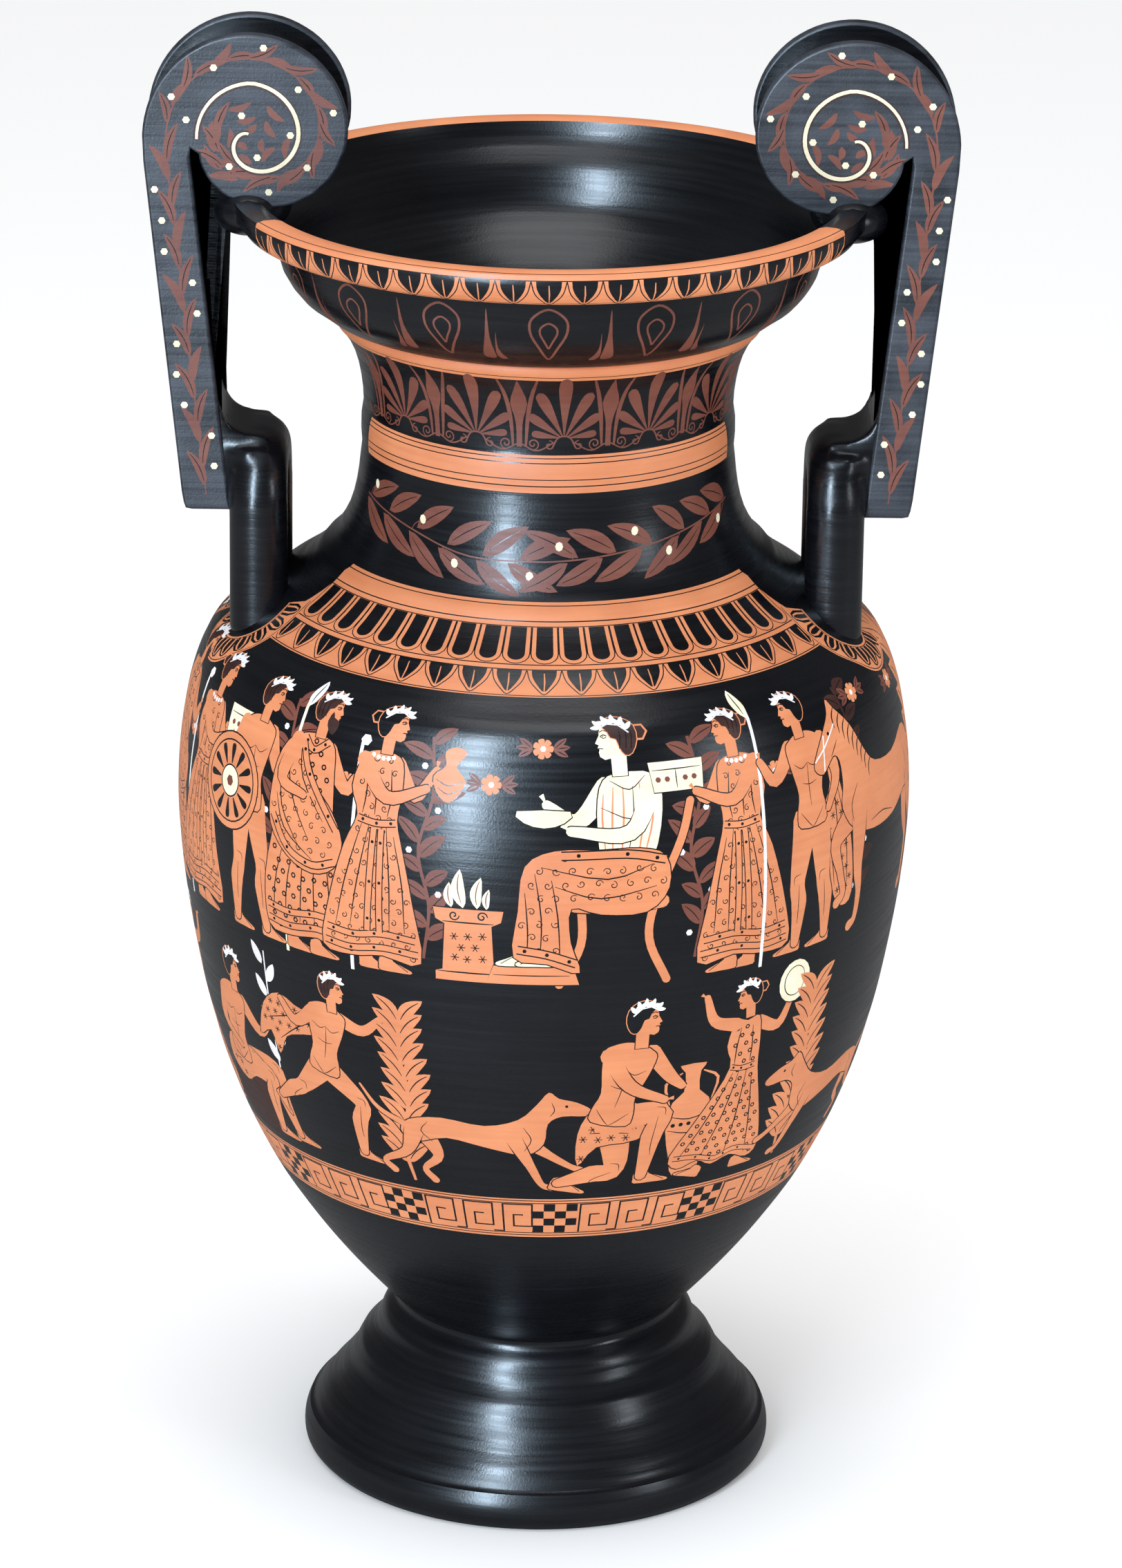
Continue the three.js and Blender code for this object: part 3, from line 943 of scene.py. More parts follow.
def dancer(b):
    """A woman who turns as she dances, with a hand drum held high."""
    foot_shape(b, (-12, 4), -1, tilt=.3)
    foot_shape(b, (8, 4.4), 1)
    arm(b, (6, 77), (17, 73), (23, 84))
    robe(b, [(-6, 80), (-9, 68), (-6, 57), (-15, 38), (-27, 15), (-22, 7), (-13, 10), (-5, 6),
             (4, 9), (14, 5), (19, 11), (14, 34), (9, 54), (8, 68), (6, 80), (0, 79)],
         [[(-3, 76), (-4, 66), (-4, 58)], [(3, 76), (4, 66), (4, 58)],
          [(-4, 54), (-12, 34), (-23, 12)], [(-1, 54), (-5, 34), (-12, 11)],
          [(3, 54), (2, 32), (0, 9)], [(6, 52), (9, 32), (12, 8)]],
         [[(-25, 13), (-14, 12), (-4, 9), (5, 12), (17, 9)], [(-5.5, 57), (0, 55.5), (7, 56)]],
         21)
    head(b, -1, 91, way=-1, bun=True, tilt=-.1)
    patch(b, [(24 + 9 * math.cos(a), 92 + 10 * math.sin(a)) for a in np.arange(0, 6.2, .7)],
          CREAM, 2)
    folds(b, [[(24 + 6 * math.cos(a), 92 + 7 * math.sin(a)) for a in np.arange(0, 6.9, .7)]], .6)
    arm(b, (-6, 78), (-17, 82), (-22, 94))


def kneeling_youth(b):
    """He steadies a storage jar with both hands."""
    jar = [(21, 3), (19, 10), (16, 26), (18, 36), (22, 40), (22, 48), (20, 51), (30, 51),
           (28, 48), (28, 40), (32, 36), (34, 26), (31, 10), (29, 3)]
    for side in (-1, 1):
        folds(b, [[(25 + side * 4, 48), (25 + side * 10, 44), (25 + side * 8, 35)]], 1.6, ORANGE)
    patch(b, jar, ORANGE, 2)
    folds(b, [[(17, 30), (25, 28), (33, 30)], [(17, 24), (25, 22), (33, 24)],
              [(19, 12), (25, 11), (31, 12)]], .7)
    dots(b, [(x, 26) for x in (19, 22, 25, 28, 31)], .9, BLACK)
    youth(b, dict(head=(6, 71), chest=(2, 60), hip=(-4, 33),
                  arms=(((9, 58), (16, 48), (21, 43)), ((-6, 58), (2, 45), (15, 38))),
                  legs=(((-3, 30), (-1, 10), (-20, 4)), ((-4, 31), (14, 33), (9, 5))),
                  tilts=(-.2, 0)),
          cloak=([(-10, 36), (4, 38), (14, 30), (6, 22), (-8, 20), (-14, 12), (-15, 26)],
                 [[(-8, 33), (0, 32), (9, 29)], [(-11, 26), (-4, 26), (3, 25)]]))


def seated_youth(b):
    """He rests on a rock with a leafy branch."""
    patch(b, [(-20, 0), (-22, 14), (-14, 27), (2, 30), (12, 24), (10, 10), (14, 0)], DARK, 2)
    for k in range(7):
        leaf(b, 27 + (k % 2) * 2, 40 + k * 7, math.radians(60 if k % 2 else 120), 10, 4, WHITE,
             None, 0)
    b.line([(24, 20), (27, 50), (29, 88)], .9 / b.size, WHITE)
    youth(b, dict(head=(3.5, 73), chest=(-1, 62), hip=(-4, 34),
                  arms=(((7, 59), (17, 50), (25, 56)), ((-9, 59), (-13, 45), (-2, 37))),
                  legs=(((-1, 33), (22, 35), (25, 6)), ((-3, 32), (17, 30), (13, 5)))),
          cloak=([(-14, 38), (0, 40), (16, 34), (15, 26), (4, 25), (-6, 20), (-18, 26)],
                 [[(-12, 34), (0, 34), (12, 31)], [(-12, 28), (-2, 29), (10, 28)]]))


print("people ready")

# %% Animals, a vine and an altar
def beast(b, outline, legs):
    """Two far legs, the body, then two near legs and whatever else lies in front."""
    for pts, w in legs[:2]:
        limb(b, pts, w)
    patch(b, outline)
    for pts, w in legs[2:]:
        limb(b, pts, w)


def horse(b):
    w, q = [13, 7, 4.2, 3.6, 5], [17, 10, 5, 4, 5.4]
    for k in range(5):
        folds(b, [[(-45, 68), (-55 - k, 58 - k), (-53 + k, 36), (-56 + 2.4 * k, 18 + 2 * k)]],
              1.6, ORANGE)
    beast(b, [(-43, 68), (-31, 74), (-10, 69), (10, 71), (19, 79), (26, 92), (33, 101), (36, 106),
              (39, 100), (46, 93), (54, 84), (56, 79), (51, 76), (43, 82), (39, 79), (39, 68),
              (41, 58), (33, 47), (16, 42), (-6, 42), (-26, 47), (-42, 46), (-48, 58)],
          [([(34, 54), (47, 44), (44, 30), (41, 20), (45, 16)], w),
           ([(-30, 54), (-27, 36), (-33, 22), (-30, 6), (-26, 2)], q),
           ([(28, 54), (30, 30), (28, 17), (29, 5), (33, 2)], w),
           ([(-37, 58), (-39, 38), (-47, 24), (-44, 6), (-39, 2)], q)])
    folds(b, [[(28, 66), (34, 58), (33, 50)], [(-30, 66), (-34, 56), (-30, 48)],
              [(38, 88), (41, 85), (44, 82)], [(-6, 44), (6, 47), (18, 46)]], .6)
    for t in np.linspace(0, 1, 9):
        x, y = 13 + 20 * t, 74 + 27 * t ** .9
        folds(b, [[(x, y + 1), (x + 3.5, y - 3), (x + 4, y - 8)]], .9)
    b.line([(46, 92), (48, 86), (50, 77)], .8 / b.size, WHITE)
    b.line([(37, 95), (47, 87), (55, 82)], .8 / b.size, WHITE)
    dots(b, [(42.5, 92)], .9, BLACK)


def hound(b):
    w, q = [7, 4, 2.8, 3.4], [9, 4.6, 2.8, 3.4]
    beast(b, [(-30, 33), (-16, 36), (2, 34), (16, 38), (24, 46), (29, 52), (33, 49), (40, 47),
              (46, 43), (44, 40), (34, 40), (28, 36), (26, 26), (18, 20), (2, 23), (-14, 26),
              (-28, 22), (-34, 27)],
          [([(18, 28), (28, 20), (36, 14), (40, 12)], w), ([(-24, 28), (-18, 16), (-24, 8),
                                                            (-20, 2)], q),
           ([(14, 28), (20, 14), (24, 4), (28, 2)], w), ([(-28, 28), (-32, 16), (-42, 9),
                                                          (-38, 4)], q),
           ([(-32, 30), (-44, 36), (-52, 46)], [3, 2, 1])])
    folds(b, [[(18, 34), (21, 28), (18, 22)], [(-22, 33), (-25, 28), (-20, 23)],
              [(30, 47), (31, 43), (29, 40)]], .5)
    dots(b, [(36, 45)], .7, BLACK)


def vine(b, height, seed, colour):
    rnd = random.Random(seed)
    path = curve([(0, 0), (3, height * .25), (-3, height * .5), (3, height * .75),
                  (0, height)], 8)
    b.line(path, 1.6, colour)
    for k in range(3, len(path) - 1, 2):
        side = 1 if (k // 2) % 2 else -1
        x, y = path[k]
        a = math.pi / 2 - side * rnd.uniform(.7, 1.25)
        leaf(b, x, y, a, rnd.uniform(13, 18), rnd.uniform(6, 8), colour, BLACK, .06 * side)
        if k % 3 == 0:
            dots(b, [(x - side * 5, y + 3)], 1.7, WHITE)


def hung(b):
    """A rosette between two sprigs, in the field between two heads."""
    for side in (-1, 1):
        for lift in (-.5, .1, .7):
            leaf(b, side * 5, 0, math.pi / 2 - side * (math.pi / 2 - lift), 8, 3, RED, BLACK, 0)
    for k in range(7):
        petal(b, 0, 0, k * 2 * math.pi / 7, 5, 4, ORANGE)
    dots(b, [(0, 0)], 1.5, WHITE)


def sapling(b):
    """A young laurel tree in clay orange."""
    path = curve([(0, 0), (-2, 18), (2, 38), (0, 58), (1, 76)], 6)
    b.line(path, 2.2, ORANGE, .5)
    for k in range(3, len(path), 2):
        for side in (-1, 1):
            leaf(b, *path[k], math.pi / 2 - side * .75, 15, 5.6, ORANGE, BLACK, .1 * side)


def altar(b):
    patch(b, [(-14, 0), (-14, 4), (-11, 5), (-10, 26), (-14, 28), (-15, 33), (15, 33), (14, 28),
              (10, 26), (11, 5), (14, 4), (14, 0)], n=0)
    folds(b, [[(-13, 4), (0, 4), (13, 4)], [(-11, 27), (0, 27), (11, 27)]], .8)
    for side in (-1, 1):
        scroll(b, side * 6, 30, 2.4, 1.3, 0, side, .7, BLACK)
    strewn(b, np.array([(-9, 7), (9, 7), (9, 25), (-9, 25)], float), 6, 2, kind="star")
    for x, h in ((-7, 11), (-2, 17), (4, 14), (8, 9)):
        leaf(b, x, 33.5, math.pi / 2 + .1 * (1 if x < 0 else -1), h, h * .34, CREAM, RED, .1)


print("animals and plants ready")

# %% The procession: who stands where, at what size and facing which way
GROUND_HIGH, GROUND_LOW = at_height(FIGURES) + 128, at_height(FIGURES) + 5
# angle from the middle of the face in degrees, who, size, and 1 or -1 for the way they face
UPPER = [(-82, elder, 1.34, 1), (-67, attendant, 1.32, 1), (-52, shield_bearer, 1.32, 1),
         (-39, elder, 1.34, 1), (-26, maiden, 1.34, 1), (-11, altar, 1.15, 1),
         (13, seated_woman, 1.6, -1), (32, attendant, 1.32, -1), (46, standing_youth, 1.32, -1),
         (68, horse, 1.14, -1), (90, sapling, 1.9, 1)]
LOWER = [(-82, dancer, 1.14, -1), (-61, seated_youth, 1.3, 1), (-38, running_youth, 1.2, 1),
         (-23, sapling, 1.3, 1), (-10, hound, 1.2, 1), (14, kneeling_youth, 1.42, 1),
         (35, dancer, 1.16, 1), (49, sapling, 1.3, 1), (60, hound, 1.2, -1),
         (90, sapling, 1.3, 1)]
VINES = [(-45, 100 * 1.15, 2, RED), (-18, 96 * 1.15, 5, RED), (24, 96 * 1.15, 7, RED),
         (57, 100 * 1.15, 9, DARK)]      # angle, height, seed, colour
FILLERS = [(-74, 84), (-60, 96), (-32, 92), (-8, 100), (0, 118), (39, 96), (62, 118), (78, 110)]


def paint_scene():
    """Both faces of the pot: vines behind, hung rosettes, then the two rows of figures."""
    for face, flip in zip(FACES, (1, -1)):
        for place, height, seed, colour in VINES:
            brush.at(face + flip * place, GROUND_HIGH + 10, flip=flip)
            vine(brush, height, seed, colour)
        for place, height in FILLERS:
            brush.at(face + flip * place, GROUND_HIGH + height, flip=flip)
            hung(brush)
        for row, ground in ((LOWER, GROUND_LOW), (UPPER, GROUND_HIGH)):
            for place, draw, size, way in row:
                brush.at(face + flip * place, ground, size, flip * way)
                draw(brush)


paint_scene()
print("belly:", len(belly.marks), "marks")

# %% [markdown]
# ## From the unrolled sheet to the round wall
# The sheet is cut tile by tile, because a triangulation's time grows faster than its size.
# Tiles share their border points, so they meet exactly. The normals come from the profile's
# slope, which keeps the wall smooth however the marks have cut it into triangles.

# %% Triangulate a painted sheet
COLUMNS = 192    # straight steps round the pot
TILES = 24


def rows_between(low, high, step):
    n = max(1, int(round((high - low) / step)))
    return np.linspace(low, high, n + 1)


def painted(centres, marks):
    """Each triangle takes the colour of the last mark that winds round its middle."""
    colours = np.full(len(centres), BLACK)
    for colour, mark in marks:
        near = np.nonzero(((centres > mark.min(0)) & (centres < mark.max(0))).all(1))[0]
        if len(near):
            colours[near[covers(mark, centres[near])]] = colour
    return colours


def triangulate(frame_pts, marks, extra=()):
    """Delaunay triangles that keep the frame's edges and every mark's edges."""
    loops = [np.asarray(frame_pts, float)] + [m for _, m in marks]
    pts, edges, k = [], [], 0
    for loop in loops:
        n = len(loop)
        pts += [Vector(p) for p in loop.tolist()]
        edges += [(k + i, k + (i + 1) % n) for i in range(n)]
        k += n
    pts += [Vector(p) for p in extra]
    out, _, tris, _, _, _ = delaunay_2d_cdt(pts, edges, [], 0, 1e-3, False)
    flat = np.array([(p[0], p[1]) for p in out])
    tris = np.array(tris)
    a, b, c = flat[tris[:, 0]], flat[tris[:, 1]], flat[tris[:, 2]]
    area = ((b[:, 0] - a[:, 0]) * (c[:, 1] - a[:, 1]) - (b[:, 1] - a[:, 1]) * (c[:, 0] - a[:, 0]))
    tris[area < 0] = tris[area < 0][:, ::-1]
    return flat, tris[np.abs(area) > 1e-5], ((a + b + c) / 3)[np.abs(area) > 1e-5]


def clipped(mark, low, high):
    """The part of a mark between two levels of u, then of v."""
    for axis in (0, 1):
        for edge, sign in ((low[axis], 1), (high[axis], -1)):
            keep = (mark[:, axis] - edge) * sign >= 0
            if keep.all():
                continue
            nxt, kept = np.roll(mark, -1, 0), []
            for p, q, inside, after in zip(mark, nxt, keep, np.roll(keep, -1)):
                if inside:
                    kept.append(p)
                if inside != after:
                    t = (edge - p[axis]) / (q[axis] - p[axis])
                    kept.append(p + (q - p) * t)
            if len(kept) < 3:
                return None
            mark = np.array(kept)
    return mark


def cut_sheet(sheet, breaks, step):
    """Returns unrolled points, triangles and the colour of each triangle."""
    per = COLUMNS // TILES
    du = 2 * math.pi * UNROLL / COLUMNS
    boxes = [(m.min(0), m.max(0)) for _, m in sheet.marks]
    whole = 2 * math.pi * UNROLL
    points, faces, colours, base = [], [], [], 0
    edges = [sheet.low, *[b for b in breaks if sheet.low < b < sheet.high], sheet.high]
    for v0, v1 in zip(edges, edges[1:]):
        rows = rows_between(v0, v1, step)
        for tile in range(TILES):
            u0 = -whole / 2 + tile * per * du
            u1 = u0 + per * du
            us = u0 + du * np.arange(per + 1)
            frame_pts = ([(u, v0) for u in us[:-1]] + [(u1, v) for v in rows[:-1]]
                         + [(u, v1) for u in us[:0:-1]] + [(u0, v) for v in rows[:0:-1]])
            marks = []
            for (colour, mark), (lo, hi) in zip(sheet.marks, boxes):
                for shift in (0, -whole, whole):
                    if (lo[0] + shift < u1 and hi[0] + shift > u0
                            and lo[1] < v1 and hi[1] > v0):
                        part = clipped(mark + [shift, 0], (u0, v0), (u1, v1))
                        if part is not None:
                            marks.append((colour, part))
            inside = [(u, v) for v in rows[1:-1] for u in us[1:-1]]
            flat, tris, centres = triangulate(frame_pts, marks, inside)
            points.append(np.clip(flat, (u0, v0), (u1, v1)))
            faces.append(tris + base)
            colours.append(painted(centres, marks))
            base += len(flat)
    faces = np.concatenate(faces)
    used, faces = np.unique(faces, return_inverse=True)
    return np.concatenate(points)[used], faces.reshape(-1, 3), np.concatenate(colours)


def section_of(v):
    return np.clip(np.searchsorted(section_ends, v, "right"), 0, len(SECTIONS) - 1)


def slopes():
    """The outward normal of the profile inside each section, as (radius, height)."""
    out = []
    for part in SECTIONS:
        d = unit_rows(np.gradient(part, axis=0))
        out.append(np.stack([d[:, 1], -d[:, 0]], 1))
    return out


NORMALS = slopes()


def wrap(uv):
    """Unrolled points to points in space, in metres."""
    phi = uv[:, 0] / UNROLL
    r = np.interp(uv[:, 1], along, profile[:, 0]) * MM
    z = np.interp(uv[:, 1], along, profile[:, 1]) * MM
    return np.stack([r * np.sin(phi), -r * np.cos(phi), z], 1)


def corner_normals(uv, faces):
    """One normal for each corner of each triangle, from its own section of the profile."""
    middle = uv[faces][:, :, 1].mean(1)
    sec = section_of(middle)
    out = np.zeros((len(faces), 3, 3))
    for s, part in enumerate(SECTIONS):
        mine = np.nonzero(sec == s)[0]
        if not len(mine):
            continue
        t = along[starts[s]:starts[s] + len(part)]
        corner = uv[faces[mine]]
        nr = np.interp(corner[:, :, 1], t, NORMALS[s][:, 0])
        nz = np.interp(corner[:, :, 1], t, NORMALS[s][:, 1])
        phi = corner[:, :, 0] / UNROLL
        out[mine] = np.stack([nr * np.sin(phi), -nr * np.cos(phi), nz], -1)
    return out


print("wrap ready:", COLUMNS, "columns in", TILES, "tiles")

# %% [markdown]
# Each section is a closed ring of clay: the painted outer wall, the inner wall and the two
# flat joints where the potter would have scored and slipped the clay together.

# %% Build a closed ring from outer triangles and an inner profile
def ring_of(uv, v):
    """Indices of the sheet's points that lie on one edge, in order round the pot."""
    keep = np.nonzero(np.abs(uv[:, 1] - v) < 1e-4)[0]
    return keep[np.argsort(uv[keep, 0])]


def lathe_rows(stations, columns=COLUMNS):
    """Rows of points turned about the axis, in metres, and each row's profile normal."""
    s = np.asarray(stations, float)
    a = -math.pi + 2 * math.pi * np.arange(columns) / columns
    pts = np.stack([np.outer(s[:, 0], np.sin(a)), -np.outer(s[:, 0], np.cos(a)),
                    np.outer(s[:, 1], np.ones(columns))], -1)
    d = unit_rows(np.gradient(s, axis=0), 1e-12)
    n = np.stack([np.outer(d[:, 1], np.sin(a)), -np.outer(d[:, 1], np.cos(a)),
                  np.outer(-d[:, 0], np.ones(columns))], -1)
    return pts * MM, n


def weld(points, distance):
    """For each point, the index of the point that stands for it."""
    bm = bmesh.new()
    for p in points.tolist():
        bm.verts.new(p)
    bm.verts.index_update()
    twins = bmesh.ops.find_doubles(bm, verts=bm.verts, dist=distance)["targetmap"]
    back = np.arange(len(points))
    for a, b in twins.items():
        back[a.index] = b.index
    bm.free()
    return back


WELD = 3e-5   # metres: points closer than this become one


class Mesher:
    """Gathers triangles with their own corner normals, colours and picture coordinates."""

    def __init__(self):
        self.v, self.f, self.n, self.m, self.uv = [], [], [], [], []
        self.count = 0

    def add(self, verts, faces, normals, mats, uvs):
        self.v.append(verts)
        self.f.append(np.asarray(faces) + self.count)
        self.n.append(normals)
        self.m.append(np.broadcast_to(mats, len(faces)))
        self.uv.append(uvs)
        self.count += len(verts)

    def build(self, name):
        """Welds what was gathered into one object that wears all the paints."""
        v, f = np.concatenate(self.v), np.concatenate(self.f)
        n, m = np.concatenate(self.n), np.concatenate(self.m)
        uv = np.concatenate(self.uv)
        back = weld(v, WELD)
        f = back[f]
        good = (f[:, 0] != f[:, 1]) & (f[:, 1] != f[:, 2]) & (f[:, 2] != f[:, 0])
        f, n, m, uv = f[good], n[good], m[good], uv[good]
        # two faces on the same three corners: a folded pair goes, a doubled face stays once
        _, first, group = np.unique(np.sort(f, axis=1), axis=0, return_index=True,
                                    return_inverse=True)
        turned = (f[:, 0] < f[:, 1]) ^ (f[:, 1] < f[:, 2]) ^ (f[:, 2] < f[:, 0])
        balance = np.bincount(group.ravel(), np.where(turned, 1, -1))
        single = np.zeros(len(f), bool)
        single[first[balance != 0]] = True
        f, n, m, uv = f[single], n[single], m[single], uv[single]
        used, f = np.unique(f, return_inverse=True)
        v, f = v[used], f.reshape(-1, 3)
        mesh = bpy.data.meshes.new(name)
        mesh.from_pydata(v.tolist(), [], f.tolist())
        mesh.polygons.foreach_set("material_index", m.astype(np.int32))
        mesh.uv_layers.new(name="OFBake").data.foreach_set("uv", uv.astype(np.float32).ravel())
        mesh.shade_smooth()
        mesh.normals_split_custom_set(n.reshape(-1, 3).tolist())
        for mat in PAINTS:
            mesh.materials.append(mat)
        obj = linked(name, mesh)
        edges = {}
        for a, b, c in f:
            for e in ((a, b), (b, c), (c, a)):
                e = (min(e), max(e))
                edges[e] = edges.get(e, 0) + 1
        odd = sum(1 for x in edges.values() if x != 2)
        a, b, c = v[f[:, 0]], v[f[:, 1]], v[f[:, 2]]
        against = (np.cross(b - a, c - a) * n.mean(1)).sum(1) < 0
        print(name, len(f), "triangles,", odd, "edges not shared by two,", against.sum(),
              "faces against their normals")
        return obj


def grid_faces(rows, columns, flip=False):
    i, j = np.meshgrid(np.arange(rows - 1), np.arange(columns), indexing="ij")
    a = (i * columns + j).ravel()
    b = (i * columns + (j + 1) % columns).ravel()
    c, d = b + columns, a + columns
    tri = np.concatenate([np.stack([a, b, c], 1), np.stack([a, c, d], 1)])
    return tri[:, ::-1] if flip else tri


def add_turned(mesher, stations, mat, place):
    """A plain turned surface. place is the (u0, v0, u1, v1) part of the bake picture."""
    pts, n = lathe_rows(stations)
    rows, columns = pts.shape[:2]
    f = grid_faces(rows, columns)
    flatn = n.reshape(-1, 3)
    ij = f // columns, f % columns
    uu = ij[1] / columns
    uu = np.where((uu.max(1) - uu.min(1))[:, None] > .5, np.where(uu < .5, uu + 1, uu), uu)
    u0, v0, u1, v1 = place
    uv = np.stack([u0 + (u1 - u0) * uu, v0 + (v1 - v0) * ij[0] / (rows - 1)], -1)
    mesher.add(pts.reshape(-1, 3), f, flatn[f], mat, uv)


def zip_rings(mesher, outer, inner, up, mat, place):
    """A flat joint between an outer and an inner ring of points, both in order round Z."""
    ring = np.vstack([outer, inner])
    na, nb = len(outer), len(inner)
    ang = lambda p: np.arctan2(p[:, 0], -p[:, 1])
    a, b = ang(outer), ang(inner)
    a, b = np.append(a, a[0] + 2 * math.pi), np.append(b, b[0] + 2 * math.pi)
    i = j = 0
    tri = []
    while i < na or j < nb:
        if j >= nb or (i < na and a[i + 1] <= b[j + 1]):
            tri.append((i % na, (i + 1) % na, na + j % nb))
            i += 1
        else:
            tri.append((i % na, na + (j + 1) % nb, na + j % nb))
            j += 1
    tri = np.array(tri)
    if not up:
        tri = tri[:, ::-1]
    n = np.zeros((len(tri), 3, 3))
    n[..., 2] = 1 if up else -1
    u0, v0, u1, v1 = place
    uv = np.zeros((len(tri), 3, 2)) + [(u0 + u1) / 2, (v0 + v1) / 2]
    mesher.add(ring, tri, n, mat, uv)


print("mesh helpers ready")

# %% The inner wall: a nine millimetre shell that follows the outside
INNER = [(142.9, 665.6), (142.6, 664.6), (141.4, 661), (138, 655.5), (133, 650), (128.6, 644),
         (126, 638), (124, 631.5), (120.6, 625.6), (115, 619.8), (108.6, 613.8), (102, 608),
         (95.6, 601.5), (90.6, 594), (86.6, 586), (84, 576), (82.6, 560), (83, 540),
         (85.4, 518), (89.9, 501), (97, 487), (106.1, 477.4), (118, 467.5), (130.5, 458.6),
         (141, 451.2), (150.1, 443.4), (158, 436), (163, 429.8), (168, 415), (172, 395),
         (174.2, 372), (174.6, 350), (172.6, 322), (168, 290), (162.2, 260.7), (153.4, 228),
         (142.5, 198.7), (130, 173.6)]


def inner_between(z_high, z_low, step=7):
    dense = smooth(INNER, 1.0)
    keep = dense[(dense[:, 1] <= z_high + .5) & (dense[:, 1] >= z_low - .5)]
    t = steps_along(keep)
    n = max(2, int(t[-1] / step))
    q = np.linspace(0, t[-1], n + 1)
    return np.stack([np.interp(q, t, keep[:, 0]), np.interp(q, t, keep[:, 1])], 1)


def painted_ring(name, sheet, inner, breaks=(), join_high=True):
    """One section of the pot as a closed ring: painted outside, black inside."""
    uv, faces, colours = cut_sheet(sheet, breaks, STEP)
    mesher = Mesher()
    half = math.pi * UNROLL
    u = uv[faces][:, :, 0]
    front = u.mean(1) < 0
    x = np.where(front[:, None], (u + half) / half, u / half)
    y = (uv[faces][:, :, 1] - sheet.low) / (sheet.high - sheet.low)
    y = np.where(front[:, None], y * .46, .465 + y * .46)
    bake = np.stack([.002 + .996 * x, .003 + y], -1)
    mesher.add(wrap(uv), faces, corner_normals(uv, faces), colours, bake)
    add_turned(mesher, inner, BLACK, (0, .94, 1, .99))
    if join_high:
        top = ring_of(uv, sheet.high)[:-1]
        zip_rings(mesher, wrap(uv[top]), lathe_rows(inner)[0][0], True, BLACK,
                  (0, .992, .1, .998))
    low = ring_of(uv, sheet.low)[:-1]
    zip_rings(mesher, wrap(uv[low]), lathe_rows(inner)[0][-1], False, BLACK,
              (0, .992, .1, .998))
    return mesher.build(name)


print("inner wall:", len(INNER), "stations")

# %% [markdown]
# ## Finishes
# Greek slip is clay too fine to melt, fired to a satin black. It was brushed on while the pot
# turned, so its gloss runs in faint rings, with cloudy patches where it lies thin. One node
# group makes that brushed unevenness, and every paint uses it with its own strengths.

# %% A shared node group: brushed rings, cloudy patches and small pits
def node(tree, kind, **values):
    n = tree.nodes.new(kind)
    for key, value in values.items():
        setattr(n, key, value)
    return n


def brushed_group():
    """Rings round the wheel's axis (noise that hardly changes across X and Y), patches, pits."""
    g = bpy.data.node_groups.new("brushed_slip", "ShaderNodeTree")
    face = g.interface
    for name, start in (("Ring fineness", 420.0), ("Patch size", 22.0), ("Pit size", 900.0)):
        s = face.new_socket(name, in_out="INPUT", socket_type="NodeSocketFloat")
        s.default_value = start
    for name in ("Rings", "Patches", "Relief"):
        face.new_socket(name, in_out="OUTPUT", socket_type="NodeSocketFloat")
    gin, gout = node(g, "NodeGroupInput"), node(g, "NodeGroupOutput")
    place = node(g, "ShaderNodeTexCoord").outputs["Object"]
    split, flat = node(g, "ShaderNodeSeparateXYZ"), node(g, "ShaderNodeCombineXYZ")
    g.links.new(place, split.inputs[0])
    for axis in "XY":
        part = node(g, "ShaderNodeMath", operation="MULTIPLY")
        part.inputs[1].default_value = 0.03
        g.links.new(split.outputs[axis], part.inputs[0])
        g.links.new(part.outputs[0], flat.inputs[axis])
    g.links.new(split.outputs["Z"], flat.inputs["Z"])

    def noise(where, scale, detail):
        texture = node(g, "ShaderNodeTexNoise", noise_dimensions="3D")
        texture.inputs["Detail"].default_value = detail
        g.links.new(where, texture.inputs["Vector"])
        g.links.new(gin.outputs[scale], texture.inputs["Scale"])
        return texture.outputs["Fac"]

    rings = noise(flat.outputs[0], "Ring fineness", 3.0)
    patches = noise(place, "Patch size", 5.0)
    add = node(g, "ShaderNodeMath", operation="MULTIPLY_ADD")
    add.inputs[1].default_value = 0.45
    g.links.new(noise(place, "Pit size", 2.0), add.inputs[0])
    g.links.new(rings, add.inputs[2])
    for name, source in (("Rings", rings), ("Patches", patches), ("Relief", add.outputs[0])):
        g.links.new(source, gout.inputs[name])
    return g


BRUSHED = brushed_group()


